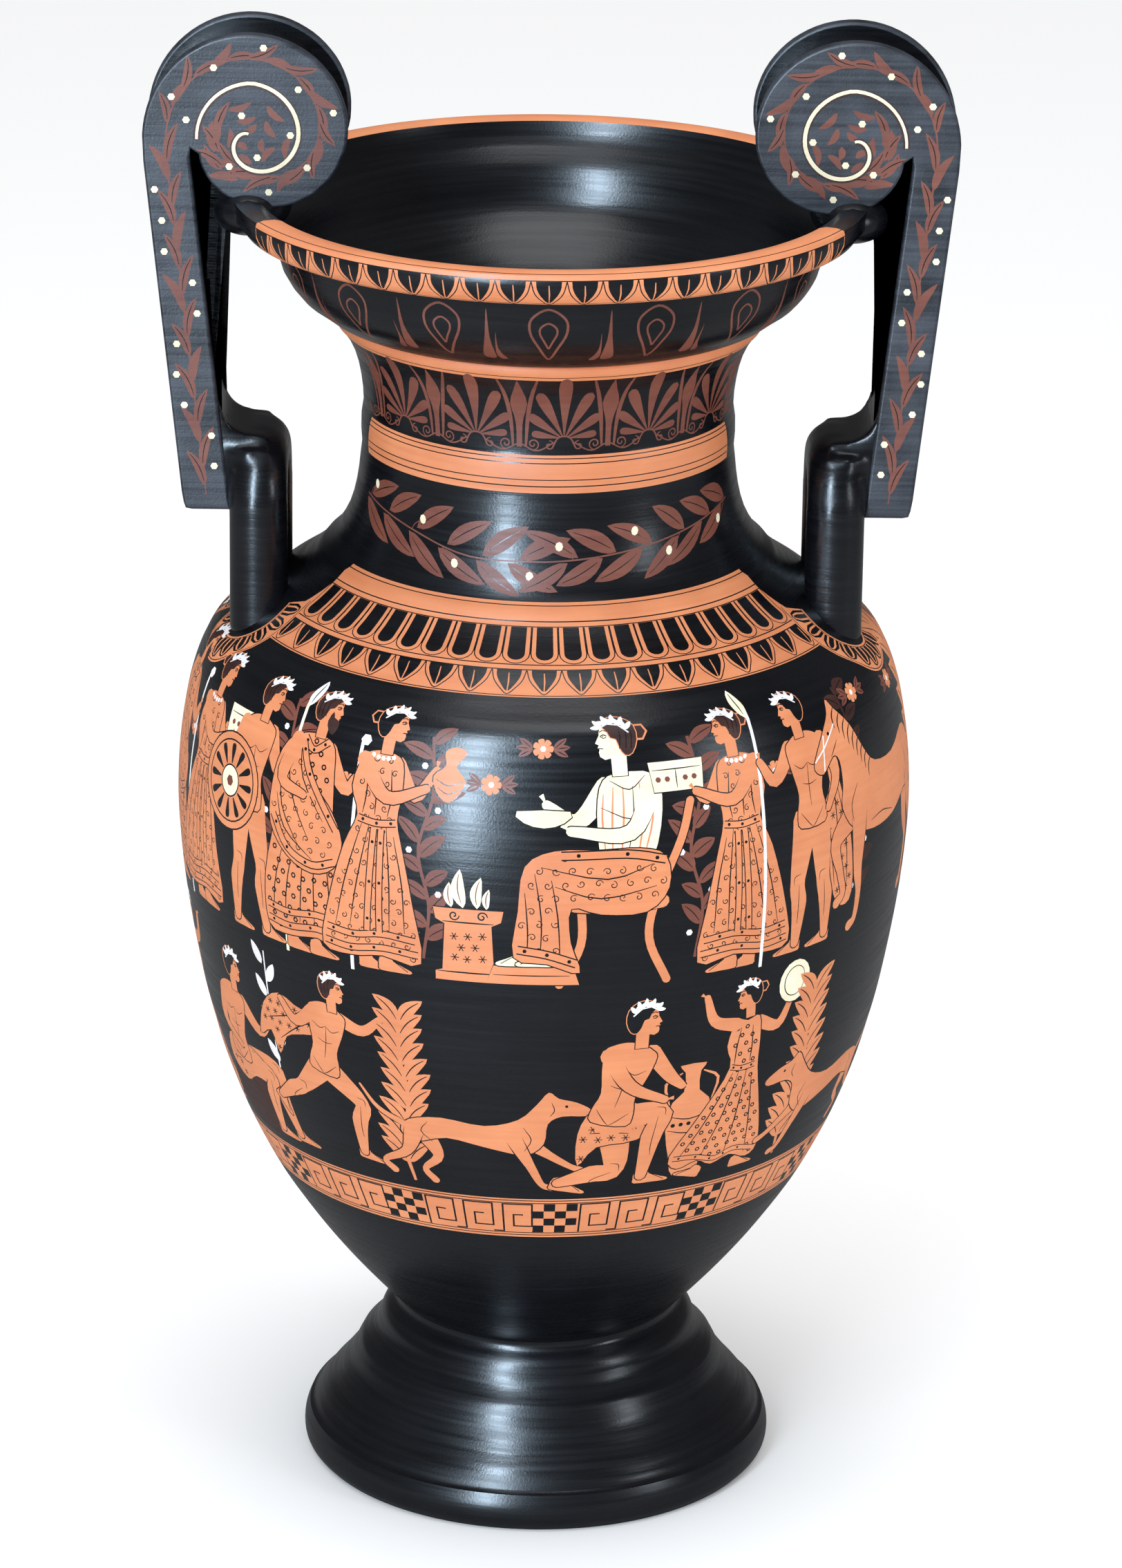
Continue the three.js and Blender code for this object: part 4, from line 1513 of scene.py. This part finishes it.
def paint(name, light, dark, rough=(.3, .45), relief=.00006, patch=22.0, level=.3):
    """A fired paint: two tones in patches, gloss in rings, and a hint of brushed relief."""
    mat = bpy.data.materials.new(name)
    mat.use_nodes = True
    tree = mat.node_tree
    shader = tree.nodes["Principled BSDF"]
    group = node(tree, "ShaderNodeGroup", node_tree=BRUSHED)
    group.inputs["Patch size"].default_value = patch
    tone = node(tree, "ShaderNodeMapRange")
    tone.inputs["From Min"].default_value, tone.inputs["From Max"].default_value = .34, .66
    blend = node(tree, "ShaderNodeMath", operation="MULTIPLY_ADD")
    blend.inputs[1].default_value = .35
    tree.links.new(group.outputs["Rings"], blend.inputs[0])
    half = node(tree, "ShaderNodeMath", operation="MULTIPLY")
    half.inputs[1].default_value = .65
    tree.links.new(group.outputs["Patches"], half.inputs[0])
    tree.links.new(half.outputs[0], blend.inputs[2])
    tree.links.new(blend.outputs[0], tone.inputs["Value"])
    mix = node(tree, "ShaderNodeMix", data_type="RGBA")
    mix.inputs["A"].default_value, mix.inputs["B"].default_value = (*dark, 1), (*light, 1)
    tree.links.new(tone.outputs[0], mix.inputs["Factor"])
    tree.links.new(mix.outputs["Result"], shader.inputs["Base Color"])
    gloss = node(tree, "ShaderNodeMapRange")
    gloss.inputs["From Min"].default_value, gloss.inputs["From Max"].default_value = .3, .7
    gloss.inputs["To Min"].default_value, gloss.inputs["To Max"].default_value = rough
    tree.links.new(group.outputs["Rings"], gloss.inputs["Value"])
    tree.links.new(gloss.outputs[0], shader.inputs["Roughness"])
    bump = node(tree, "ShaderNodeBump")
    bump.inputs["Distance"].default_value = relief
    tree.links.new(group.outputs["Relief"], bump.inputs["Height"])
    tree.links.new(bump.outputs[0], shader.inputs["Normal"])
    shader.inputs["Specular IOR Level"].default_value = level
    return mat


PAINTS = [
    paint("black_slip", (.0056, .0060, .0085), (.0024, .0027, .0040), (.22, .33), .0001, 22.0,
          .45),
    paint("orange_clay", (.71, .262, .112), (.60, .200, .082), (.42, .55), .0001, 30.0, .4),
    paint("red_wash", (.20, .060, .036), (.150, .040, .025), (.40, .55), .0001, 60.0, .4),
    paint("cream_white", (.84, .80, .62), (.72, .66, .46), (.45, .6), .0001, 60.0),
    paint("chalk_white", (.84, .84, .86), (.62, .61, .62), (.45, .6), .0001, 60.0),
    paint("dark_brown", (.060, .018, .012), (.030, .010, .008), (.38, .5), .0001, 60.0, .4),
    # Lighter grey-blue slip for the flange plates: painted sheen that stands for the soft
    # reflection on their flat faces.
    paint("sheen_painted_slip", (.046, .055, .074), (.009, .011, .017), (.36, .52), .0002, 46.0, .5),
]
print("paints:", [m.name for m in PAINTS])

# %% Turn and paint the neck section and the two belly sections
STEP = 7.0     # millimetres between rows of points up the wall
LIP, NECK_JOINT, MIDDLE, FOOT_JOINT = 666, 446.5, 322.0, 173.6   # heights of the inner joints
upper_belly, lower_belly = Sheet(at_height(MIDDLE), V_FRIEZE), Sheet(belly.low, at_height(MIDDLE))
upper_belly.marks = lower_belly.marks = belly.marks
neck_ring = painted_ring("neck_and_mouth", neck, inner_between(LIP, NECK_JOINT),
                         section_ends[:-1], join_high=False)
belly_high = painted_ring("belly_upper", upper_belly, inner_between(NECK_JOINT, MIDDLE))
belly_low = painted_ring("belly_lower", lower_belly, inner_between(MIDDLE, FOOT_JOINT))

# %% [markdown]
# ## The foot, turned with Geometry Nodes
# The foot carries no pictures, so it can be a plain lathe. A node tree sweeps the profile
# curve round a small circle: the same idea as a potter's template held against a turning
# lump of clay.

# %% A lathe as a node tree
def poly_curve(name, points):
    data = bpy.data.curves.new(name, "CURVE")
    data.dimensions = "3D"
    spline = data.splines.new("POLY")
    spline.points.add(len(points) - 1)
    for p, q in zip(spline.points, points):
        p.co = (*q, 1)
    return linked(name, data)


def tree_with(name, inputs):
    g = bpy.data.node_groups.new(name, "GeometryNodeTree")
    g.interface.new_socket("Geometry", in_out="INPUT", socket_type="NodeSocketGeometry")
    ids = {}
    for label, kind in inputs:
        s = g.interface.new_socket(label, in_out="INPUT", socket_type=kind)
        ids[label] = s.identifier
    g.interface.new_socket("Geometry", in_out="OUTPUT", socket_type="NodeSocketGeometry")
    return g, node(g, "NodeGroupInput"), node(g, "NodeGroupOutput"), ids


def in_clay(g, gin, gout, mesh):
    """The end of both trees: real geometry that wears the chosen clay."""
    solid = node(g, "GeometryNodeRealizeInstances")
    finish = node(g, "GeometryNodeSetMaterial")
    for source, target in ((mesh, solid.inputs["Geometry"]),
                           (solid.outputs["Geometry"], finish.inputs["Geometry"]),
                           (gin.outputs["Clay"], finish.inputs["Material"]),
                           (finish.outputs["Geometry"], gout.inputs["Geometry"])):
        g.links.new(source, target)


def lathe_tree():
    g, gin, gout, ids = tree_with("potters_lathe", [("Columns", "NodeSocketInt"),
                                                    ("Hub", "NodeSocketFloat"),
                                                    ("Clay", "NodeSocketMaterial")])
    circle = node(g, "GeometryNodeCurvePrimitiveCircle", mode="RADIUS")
    sweep = node(g, "GeometryNodeCurveToMesh")
    merge = node(g, "GeometryNodeMergeByDistance")
    merge.inputs["Distance"].default_value = 2e-5
    g.links.new(gin.outputs["Columns"], circle.inputs["Resolution"])
    g.links.new(gin.outputs["Hub"], circle.inputs["Radius"])
    g.links.new(circle.outputs["Curve"], sweep.inputs["Curve"])
    g.links.new(gin.outputs["Geometry"], sweep.inputs["Profile Curve"])
    g.links.new(sweep.outputs["Mesh"], merge.inputs["Geometry"])
    in_clay(g, gin, gout, merge.outputs["Geometry"])
    return g, ids


def grown(source, tree, ids, values, name):
    """Run a node tree on an object and keep the result as a plain mesh object."""
    mod = source.modifiers.new("grow", "NODES")
    mod.node_group = tree
    for label, value in values.items():
        mod[ids[label]] = value
    graph = bpy.context.evaluated_depsgraph_get()
    mesh = bpy.data.meshes.new_from_object(source.evaluated_get(graph))
    bpy.data.objects.remove(source)
    return linked(name, mesh)


def outward(obj, angle=26):
    """Weld, point every face outwards and keep creases sharper than the angle."""
    bm = bmesh.new()
    bm.from_mesh(obj.data)
    bmesh.ops.remove_doubles(bm, verts=bm.verts, dist=2e-5)
    bmesh.ops.recalc_face_normals(bm, faces=bm.faces)
    if bm.calc_volume(signed=True) < 0:
        bmesh.ops.reverse_faces(bm, faces=bm.faces)
    bm.to_mesh(obj.data)
    bm.free()
    obj.data.shade_smooth()
    obj.data.set_sharp_from_angle(angle=math.radians(angle))
    return obj


lower = smooth(BODY, 2.0)
lower = lower[lower[:, 1] < 162.9]
edge = [np.interp(V_START, along, profile[:, 0]), np.interp(V_START, along, profile[:, 1])]
RECESS = [(0, 63), (24, 62.4), (40, 60), (54, 56), (66, 50), (75, 42.5), (82, 34), (89, 23.5),
          (94, 14), (98.2, 1.2), (99.4, 0)]
INSIDE = [(130, 173.6), (117.2, 152.4), (106, 136.5), (94, 121.2), (82, 108), (68, 98),
          (50, 93.6), (26, 92.3), (0, 92)]
foot_profile = np.vstack([
    smooth(RECESS, 4)[:-1], [(99.4, 0)], *[smooth(s, 1.5)[:-1] for s in (
        FOOT_RING, FOOT_STEP, FOOT_SWEEP, FOOT_UPPER, FOOT_BEAD, STEM)],
    lower[:-1], [edge], smooth(INSIDE, 5)])
HUB = 0.001   # metres: radius of the small circle that the template is swept round
tree, ids = lathe_tree()
template = poly_curve("foot_template", [((r * MM - HUB), -z * MM, 0) for r, z in foot_profile])
foot = grown(template, tree, ids, {"Columns": COLUMNS, "Hub": HUB, "Clay": PAINTS[BLACK]}, "foot")
outward(foot)
size = [max(v.co[i] for v in foot.data.vertices) for i in range(3)]
print("foot:", len(foot.data.polygons), "faces, reaches", [round(c, 4) for c in size])

# %% [markdown]
# ## The handles
# A volute handle is a strap with a flange along each side. It stands on a round loop handle,
# climbs past the lip and rolls up into a scroll that is stuck to the rim. Only the flanges
# are flat enough to paint. So each handle is made of two painted flange plates and one mass
# of black clay. Its loop, bridge and pad are melted together by a voxel remesh, as a thumb
# smooths wet joints, and its web keeps crisp edges between the flanges.

# %% Sizes of the handle, in millimetres, across X and up Z
STRAP = dict(width=52, flange=8, groove=5.5, bottom=509, top=690, outer_bottom=179,
             outer_top=198, face=23)
SCROLL = dict(x=145, z=696, radii=(53, 52, 47, 33, 25.5))
LOOP = dict(x=142, half_span=27, radius=14.5, top=548, bottom=446, bend=20)
BRIDGE = dict(low=512, high=547, top=566, half_depth=24, hollow=(161.6, 564), curve=(16, 17))
FILL = dict(low=515, high=541, half_depths=(30, 32, 25, 22))     # clay pressed round the bridge
PAD = dict(centre=(147, 0, 659), half_size=(21, 35, 15))         # fixes the scroll to the lip
SMOOTH_TURN = smooth([(i * 25, q) for i, q in enumerate(SCROLL["radii"])], .5)


def on_scroll(r, a):
    """A point on the scroll's face, from its middle: a distance and an angle."""
    return np.array([SCROLL["x"] + r * np.cos(a), SCROLL["z"] + r * np.sin(a)])


def handle_outline(inset=0.0, outer=0.0):
    """The handle's front outline. inset shrinks it all round, outer only along its back."""
    s = STRAP
    x0, x1 = s["outer_bottom"] - s["face"], s["outer_bottom"] - outer
    pts = [(x0, s["bottom"]), (x0 + 6, s["bottom"]), (x1 - 4, s["bottom"]),
           (x1 - 1, s["bottom"] + .6), (x1, s["bottom"] + 3.5)]
    top_x = s["outer_top"] - outer
    pts += [(x1 + (top_x - x1) * t, s["bottom"] + (s["top"] - s["bottom"]) * t)
            for t in np.linspace(.05, .97, 22)]
    for turn in np.linspace(.005, .955, 74):
        fade = min(max((.75 - turn) / .2, 0), 1)
        k = int(round(turn * (len(SMOOTH_TURN) - 1)))
        r = SMOOTH_TURN[k, 1] - outer * fade
        pts.append(on_scroll(r, turn * 2 * math.pi))
    xi = s["outer_top"] - s["face"]
    pts += [(xi - .4, s["top"] + 1.5), (xi - .1, s["top"] - 3)]
    pts += [(xi + (x0 - xi) * t, s["top"] - 3 + (s["bottom"] - s["top"] + 3) * t)
            for t in np.linspace(.05, .98, 22)]
    p = np.array(pts)
    if inset:
        d = unit_rows(np.roll(p, -1, 0) - np.roll(p, 1, 0))
        p = p + np.stack([-d[:, 1], d[:, 0]], 1) * inset
    return p


class FlatBrush(Brush):
    """The same brush on a flat face: x and y are millimetres across and up."""

    def shape(self, pts, colour):
        self.sheet.add(*np.asarray(pts, float).T, colour)


def spray_path(turn):
    """Middle line of the leaf spray: up the strap, then round the scroll and inwards."""
    s = STRAP
    if turn < 0:
        t = 1 + turn
        x = s["outer_bottom"] + (s["outer_top"] - s["outer_bottom"]) * t - s["face"] * .5
        return np.array([x, s["bottom"] + 5 + (s["top"] - s["bottom"] - 5) * t])
    k = int(round(min(turn, 1) * (len(SMOOTH_TURN) - 1)))
    r = (SMOOTH_TURN[k, 1] - 11.5) if turn < .75 else 22 - 26 * (turn - .75)
    if turn < .75:
        r = r - max(0, turn - .3) * 14
    return on_scroll(r, turn * 2 * math.pi)


def spiral_line():
    a = np.linspace(0, 2.35 * math.pi, 60)
    r = np.interp(a / (2 * math.pi), [0, .25, .5, .75, 1, 1.18], [26.5, 28, 22.5, 15, 7.5, 3])
    return on_scroll(r, a).T


def paint_flange(sheet):
    """A leafy branch that climbs the strap and winds into the scroll, with white berries."""
    b = FlatBrush(sheet)
    rnd = random.Random(11)
    b.line([spray_path(t) for t in np.linspace(-.985, .72, 70)], .9, RED, .3)
    for i, t in enumerate(list(np.arange(-.96, -.03, .125)) + list(np.arange(.03, .98, .070))):
        p, q = spray_path(t), spray_path(t + .01)
        way = math.atan2(*(q - p)[::-1])
        for side in (-1, 1):
            strap = t < 0
            size = rnd.uniform(19, 23) if strap else rnd.uniform(15, 18)
            lean = side * math.radians(rnd.uniform(17, 23) if strap else rnd.uniform(22, 30))
            along_stem = (q - p) / np.linalg.norm(q - p)
            start = p + along_stem * (9 if side > 0 else 0)
            leaf(b, *start, way + lean, size, 4.5 if strap else 4.2,
                 rib=BLACK if (i + side) % 3 else None, bend=-.09 * side)
    for r0, count, lean, size in ((19, 6, 1.9, 12), (12, 5, 2.0, 10), (5, 3, 1.6, 7)):
        for k in range(count):
            a = k * 2 * math.pi / count + r0 * .6
            leaf(b, *on_scroll(r0, a), a + lean, size, 3.2, rib=None, bend=.12)
    spiral = spiral_line()
    # Under the cream spiral lies a wider dark brown band that shows mostly below it: painted
    # shadow along the step of the scroll's relief.
    b.line(spiral, 3.4, DARK)
    b.line(spiral + [0, .3], 2.0, CREAM, .35)
    spots = [spray_path(t) + np.array([rnd.choice((-1, 1)) * rnd.uniform(5.5, 8), 0])
             for t in np.arange(-.9, -.02, .088)]
    spots += [on_scroll(r, a) for r, a in (
        (44, .5), (40, 1.1), (46, 1.7), (34, 2.3), (42, 2.8), (30, 3.6), (27, 4.4), (17, 5.4),
        (13, 1.2), (19, 3.0), (9, 4.4), (33, .3))]
    dots(b, spots, 1.85, CREAM)


def cut_flat(outline, marks):
    """Triangulate one flat face with its marks, keeping only what lies in the outline."""
    flat, faces, centres = triangulate(outline, marks)
    inside = painted(centres, [(RED, np.asarray(outline))]) == RED
    # The plate's ground, under the leaves, takes the lighter slip of painted sheen.
    colours = painted(centres, [(PAINTED_SHEEN, np.asarray(outline))] + marks)
    return flat, faces[inside], colours[inside]


print("handle outline:", len(handle_outline()), "points")

# %% Two painted flange plates with rounded edges
def flange_plates(name):
    art = Sheet(0, 1)
    paint_flange(art)
    mesher = Mesher()
    steps = [(1.6, 0.0), (1.0, .18), (.45, .55), (.1, 1.1), (0, 1.8)]
    size = np.array([1 / 110, 1 / 250])
    for face_y, way in ((-STRAP["width"] / 2, 1), (STRAP["width"] / 2, -1)):
        flat, faces, colours = cut_flat(handle_outline(steps[0][0]), art.marks)
        n = np.zeros((len(faces), 3, 3))
        n[..., 1] = -way
        xyz = np.stack([flat[:, 0], np.full(len(flat), face_y), flat[:, 1]], 1) * MM
        bake = (flat - [92, 505]) * size * [.49, .98]
        bake = bake + ([0.005, .01] if way > 0 else [.5, .01])
        f = faces if way > 0 else faces[:, ::-1]
        mesher.add(xyz, f, n, colours, bake[f])
        back_y = face_y + way * STRAP["flange"]
        rings = [(handle_outline(i), face_y + way * d) for i, d in steps]
        rings += [(handle_outline(i), back_y - way * d) for i, d in steps[::-1]]
        loops = [np.stack([o[:, 0], np.full(len(o), y), o[:, 1]], 1) * MM for o, y in rings]
        count = len(loops[0])
        pts = np.concatenate(loops)
        faces = grid_faces(len(loops), count, flip=way > 0)
        back = rings[0][0]
        d = unit_rows(np.roll(back, -1, 0) - np.roll(back, 1, 0))
        out = np.stack([d[:, 1], 0 * d[:, 0], -d[:, 0]], 1)
        tilt = np.radians([90, 65, 42, 18, 0, 0, -18, -42, -65, -90])
        nn = np.concatenate([out * math.cos(t) + [0, -way * math.sin(t), 0] for t in tilt])
        uv = np.zeros((len(faces), 3, 2)) + [.995, .5]
        # The rounded rims wear the same painted sheen.
        mesher.add(pts, faces, nn[faces], PAINTED_SHEEN, uv)
        flat, faces, _ = cut_flat(handle_outline(steps[0][0]), [])
        n = np.zeros((len(faces), 3, 3))
        n[..., 1] = way
        xyz = np.stack([flat[:, 0], np.full(len(flat), back_y), flat[:, 1]], 1) * MM
        f = faces[:, ::-1] if way > 0 else faces
        mesher.add(xyz, f, n, BLACK, np.zeros((len(f), 3, 2)) + [.995, .5])
    return mesher.build(name)


plates = flange_plates("flanges_right")

# %% [markdown]
# The loop is a bar of clay bent like a staple. A sweep along a path is another shape that
# follows a rule, so a node tree draws it: a circle carried along the bent line, a little
# thicker where it is pressed on to the shoulder.

# %% The loop handle as a swept bar
def bar_tree():
    g, gin, gout, ids = tree_with("bent_bar", [("Radius", "NodeSocketFloat"),
                                               ("Sides", "NodeSocketInt"),
                                               ("Clay", "NodeSocketMaterial")])
    circle = node(g, "GeometryNodeCurvePrimitiveCircle", mode="RADIUS")
    place = node(g, "GeometryNodeInputPosition")
    height = node(g, "ShaderNodeSeparateXYZ")
    flare = node(g, "ShaderNodeMapRange", interpolation_type="SMOOTHSTEP")
    for label, value in (("From Min", .452), ("From Max", .482), ("To Min", 1.10),
                         ("To Max", 1.0)):
        flare.inputs[label].default_value = value
    swell_ends = node(g, "GeometryNodeSetCurveRadius")
    g.links.new(place.outputs[0], height.inputs[0])
    g.links.new(height.outputs["Z"], flare.inputs["Value"])
    g.links.new(flare.outputs[0], swell_ends.inputs["Radius"])
    sweep = node(g, "GeometryNodeCurveToMesh")
    sweep.inputs["Fill Caps"].default_value = True
    g.links.new(gin.outputs["Sides"], circle.inputs["Resolution"])
    g.links.new(gin.outputs["Radius"], circle.inputs["Radius"])
    g.links.new(gin.outputs["Geometry"], swell_ends.inputs["Curve"])
    g.links.new(swell_ends.outputs["Curve"], sweep.inputs["Curve"])
    g.links.new(circle.outputs["Curve"], sweep.inputs["Profile Curve"])
    in_clay(g, gin, gout, sweep.outputs["Mesh"])
    return g, ids


def staple_points():
    L = LOOP
    crown = L["top"] - L["radius"]
    pts = [(-L["half_span"], z) for z in np.linspace(L["bottom"], crown - L["bend"], 14)]
    a = np.linspace(math.pi, math.pi / 2, 12)[1:]
    pts += [(-L["half_span"] + L["bend"] + L["bend"] * math.cos(t),
             crown - L["bend"] + L["bend"] * math.sin(t)) for t in a]
    pts += [(-y, z) for y, z in pts[::-1]]
    return [(L["x"] * MM, y * MM, z * MM) for y, z in pts]


bar, bar_ids = bar_tree()
loop = grown(poly_curve("loop_path", staple_points()), bar, bar_ids,
             {"Radius": LOOP["radius"] * MM, "Sides": 40, "Clay": PAINTS[BLACK]}, "loop_bar")
outward(loop, 60)
print("loop bar:", len(loop.data.polygons), "faces")

# %% The web, the bridge and the pad, then all the black clay melted into one
def modelled(name, bm):
    """The edited mesh as a new object."""
    mesh = bpy.data.meshes.new(name)
    bm.to_mesh(mesh)
    bm.free()
    return linked(name, mesh)


def slab(name, outline, y0, y1, up=False):
    """A flat outline in X and Z carried along Y, or with up in X and Y carried along Z."""
    bm = bmesh.new()
    at = (lambda p, y: (p[0], p[1], y)) if up else (lambda p, y: (p[0], y, p[1]))
    a = [bm.verts.new(Vector(at(p, y0)) * MM) for p in outline]
    b = [bm.verts.new(Vector(at(p, y1)) * MM) for p in outline]
    bm.faces.new(a)
    bm.faces.new(b[::-1])
    for i in range(len(a)):
        j = (i + 1) % len(a)
        bm.faces.new((a[j], a[i], b[i], b[j]))
    bmesh.ops.triangulate(bm, faces=bm.faces)
    bmesh.ops.recalc_face_normals(bm, faces=bm.faces)
    return modelled(name, bm)


def ball(name, centre, size):
    """An egg-shaped lump: its centre and its three half sizes in millimetres."""
    bm = bmesh.new()
    bmesh.ops.create_icosphere(bm, subdivisions=4, radius=MM)
    for v in bm.verts:
        v.co = Vector([c * MM + q * s for c, q, s in zip(centre, v.co, size)])
    return modelled(name, bm)


def melted(name, parts, voxel, soften):
    """Join closed parts into one skin of clay and soften its joints: the skin's grain in
    millimetres, and how often the thumb goes over it."""
    bm = bmesh.new()
    for part in parts:
        bm.from_mesh(part.data)
        bpy.data.objects.remove(part)
    obj = modelled(name, bm)
    skin = obj.modifiers.new("skin", "REMESH")
    skin.mode, skin.voxel_size = "VOXEL", voxel * MM
    thumb = obj.modifiers.new("thumb", "SMOOTH")
    thumb.factor, thumb.iterations = .5, soften
    graph = bpy.context.evaluated_depsgraph_get()
    done = bpy.data.meshes.new_from_object(obj.evaluated_get(graph))
    obj.modifiers.clear()
    obj.data = done
    done.materials.clear()
    done.materials.append(PAINTS[BLACK])
    done.shade_smooth()
    return obj


half = STRAP["width"] / 2
web = slab("web", handle_outline(.3, STRAP["groove"]),
           -half + STRAP["flange"] - 1.5, half - STRAP["flange"] + 1.5)
web.data.materials.append(PAINTS[BLACK])
outward(web, 35)
x_in, x_out = LOOP["x"] - 4, STRAP["outer_bottom"] - STRAP["face"] + 8
(hollow_x, hollow_z), (curve_x, curve_z) = BRIDGE["hollow"], BRIDGE["curve"]
hollow = [(hollow_x - curve_x * (1 - math.cos(a)), hollow_z - curve_z * math.sin(a))
          for a in np.linspace(0, math.pi / 2, 7)]
bridge = slab("bridge", [(x_in, BRIDGE["low"]), (x_out, BRIDGE["low"]), (x_out + 1, BRIDGE["top"]),
                         (hollow_x + .2, BRIDGE["top"]), *hollow, (x_in, BRIDGE["high"])],
              -BRIDGE["half_depth"], BRIDGE["half_depth"])
corners = list(zip((x_in - 2, x_in + 10, x_out - 6, x_out), FILL["half_depths"]))
fill = slab("fill", [(x, -y) for x, y in corners] + corners[::-1], FILL["low"], FILL["high"],
            up=True)
pad = ball("pad", PAD["centre"], PAD["half_size"])
clay = melted("clay_right", [bridge, fill, pad, loop], voxel=1.5, soften=22)
bm = bmesh.new()
bm.from_mesh(clay.data)
bm.from_mesh(web.data)
bm.to_mesh(clay.data)
bm.free()
bpy.data.objects.remove(web)
print("clay:", len(clay.data.polygons), "faces")

# %% The left handle is the right one turned half round
def turned_copy(obj, name):
    mesh = obj.data.copy()
    mesh.transform(Matrix.Rotation(math.pi, 4, "Z"))
    return linked(name, mesh)


handles = [plates, clay, turned_copy(plates, "flanges_left"), turned_copy(clay, "clay_left")]

# %% Every piece rides on the pot and stands for its solid
pieces = [neck_ring, belly_high, belly_low, foot] + handles
for piece in pieces:
    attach(piece, "root")
    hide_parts("krater")
print("pieces:", [p.name for p in pieces])

# %% [markdown]
# ## Floor, light and camera
# A pale floor that meets a pale room keeps the outline clean. Two tall windows and a card
# overhead light the pot. A gleam card shows only in the gloss, where it draws the long pale
# highlight, and reflections see a darker room, so the slip stays black.

# %% The stage
def floor():
    """A wide pale floor, which looks darker in reflections so that the slip stays black."""
    mesh = bpy.data.meshes.new("studio_floor")
    s = 12
    mesh.from_pydata([(-s, -s, 0), (s, -s, 0), (s, s, 0), (-s, s, 0)], [], [(0, 1, 2, 3)])
    pale = bpy.data.materials.new("pale_floor")
    pale.use_nodes = True
    tree = pale.node_tree
    shader = tree.nodes["Principled BSDF"]
    shader.inputs["Roughness"].default_value = .8
    rays = node(tree, "ShaderNodeLightPath")
    shade = node(tree, "ShaderNodeMix", data_type="RGBA")
    shade.inputs["A"].default_value, shade.inputs["B"].default_value = (.93,) * 4, (.22,) * 4
    tree.links.new(rays.outputs["Is Glossy Ray"], shade.inputs["Factor"])
    tree.links.new(shade.outputs["Result"], shader.inputs["Base Color"])
    mesh.materials.append(pale)
    linked("studio_floor", mesh)


def soft_light(name, place, target, size, power, colour, gleam=False):
    """A soft card of light. A gleam shows in glossy reflections and lights nothing else."""
    data = bpy.data.lights.new(name, "AREA")
    data.shape, data.size, data.size_y = "RECTANGLE", size[0], size[1]
    data.energy, data.color = power, colour
    obj = linked(name, data)
    obj.location = place
    obj.rotation_euler = (Vector(target) - Vector(place)).to_track_quat("-Z", "Y").to_euler()
    obj.visible_diffuse = not gleam


floor()
soft_light("window_left", (-1.07, -2.40, 1.58), (0, 0, .35), (.42, 3.2), 46, (.80, .90, 1))
soft_light("gleam_card", (-1.00, -2.35, 1.35), (0, 0, .35), (.34, 2.9), 150, (.60, .80, 1), True)
soft_light("window_right", (2.5, -1.5, 1.2), (0, 0, .35), (.45, 1.4), 16, (.84, .92, 1))
soft_light("top_card", (0, -.3, 3.0), (0, 0, .4), (1.6, 1.6), 26, (.94, .97, 1))
world = bpy.data.worlds.new("pale_room")
world.use_nodes = True
room = world.node_tree
sky = room.nodes["Background"]
sky.inputs["Color"].default_value = (1, 1, 1, 1)
rays, dim = node(room, "ShaderNodeLightPath"), node(room, "ShaderNodeMapRange")
dim.inputs["To Min"].default_value, dim.inputs["To Max"].default_value = .95, .09
room.links.new(rays.outputs["Is Glossy Ray"], dim.inputs["Value"])
room.links.new(dim.outputs[0], sky.inputs["Strength"])
bpy.context.scene.world = world
bpy.context.scene.view_settings.view_transform = "Standard"

# %% The camera: a long lens, looking a little down on the mouth
ELEVATION, DISTANCE, ROLL = math.radians(19.7), 3.341, math.radians(0.77)
AIM = Vector((0.0087, 0, 0.3588))
eye = AIM - DISTANCE * Vector((0, math.cos(ELEVATION), -math.sin(ELEVATION)))
lens = bpy.data.cameras.new("view")
lens.lens, lens.sensor_width, lens.sensor_fit = 152.3, 36, "VERTICAL"
lens.sensor_height = 36
camera = linked("view", lens)
camera.matrix_world = (Matrix.Translation(eye)
                       @ (AIM - eye).to_track_quat("-Z", "Y").to_matrix().to_4x4()
                       @ Matrix.Rotation(ROLL, 4, "Z"))
bpy.context.scene.camera = camera
print("camera:", [round(c, 3) for c in eye], "m, looking", round(math.degrees(ELEVATION), 1),
      "degrees down")
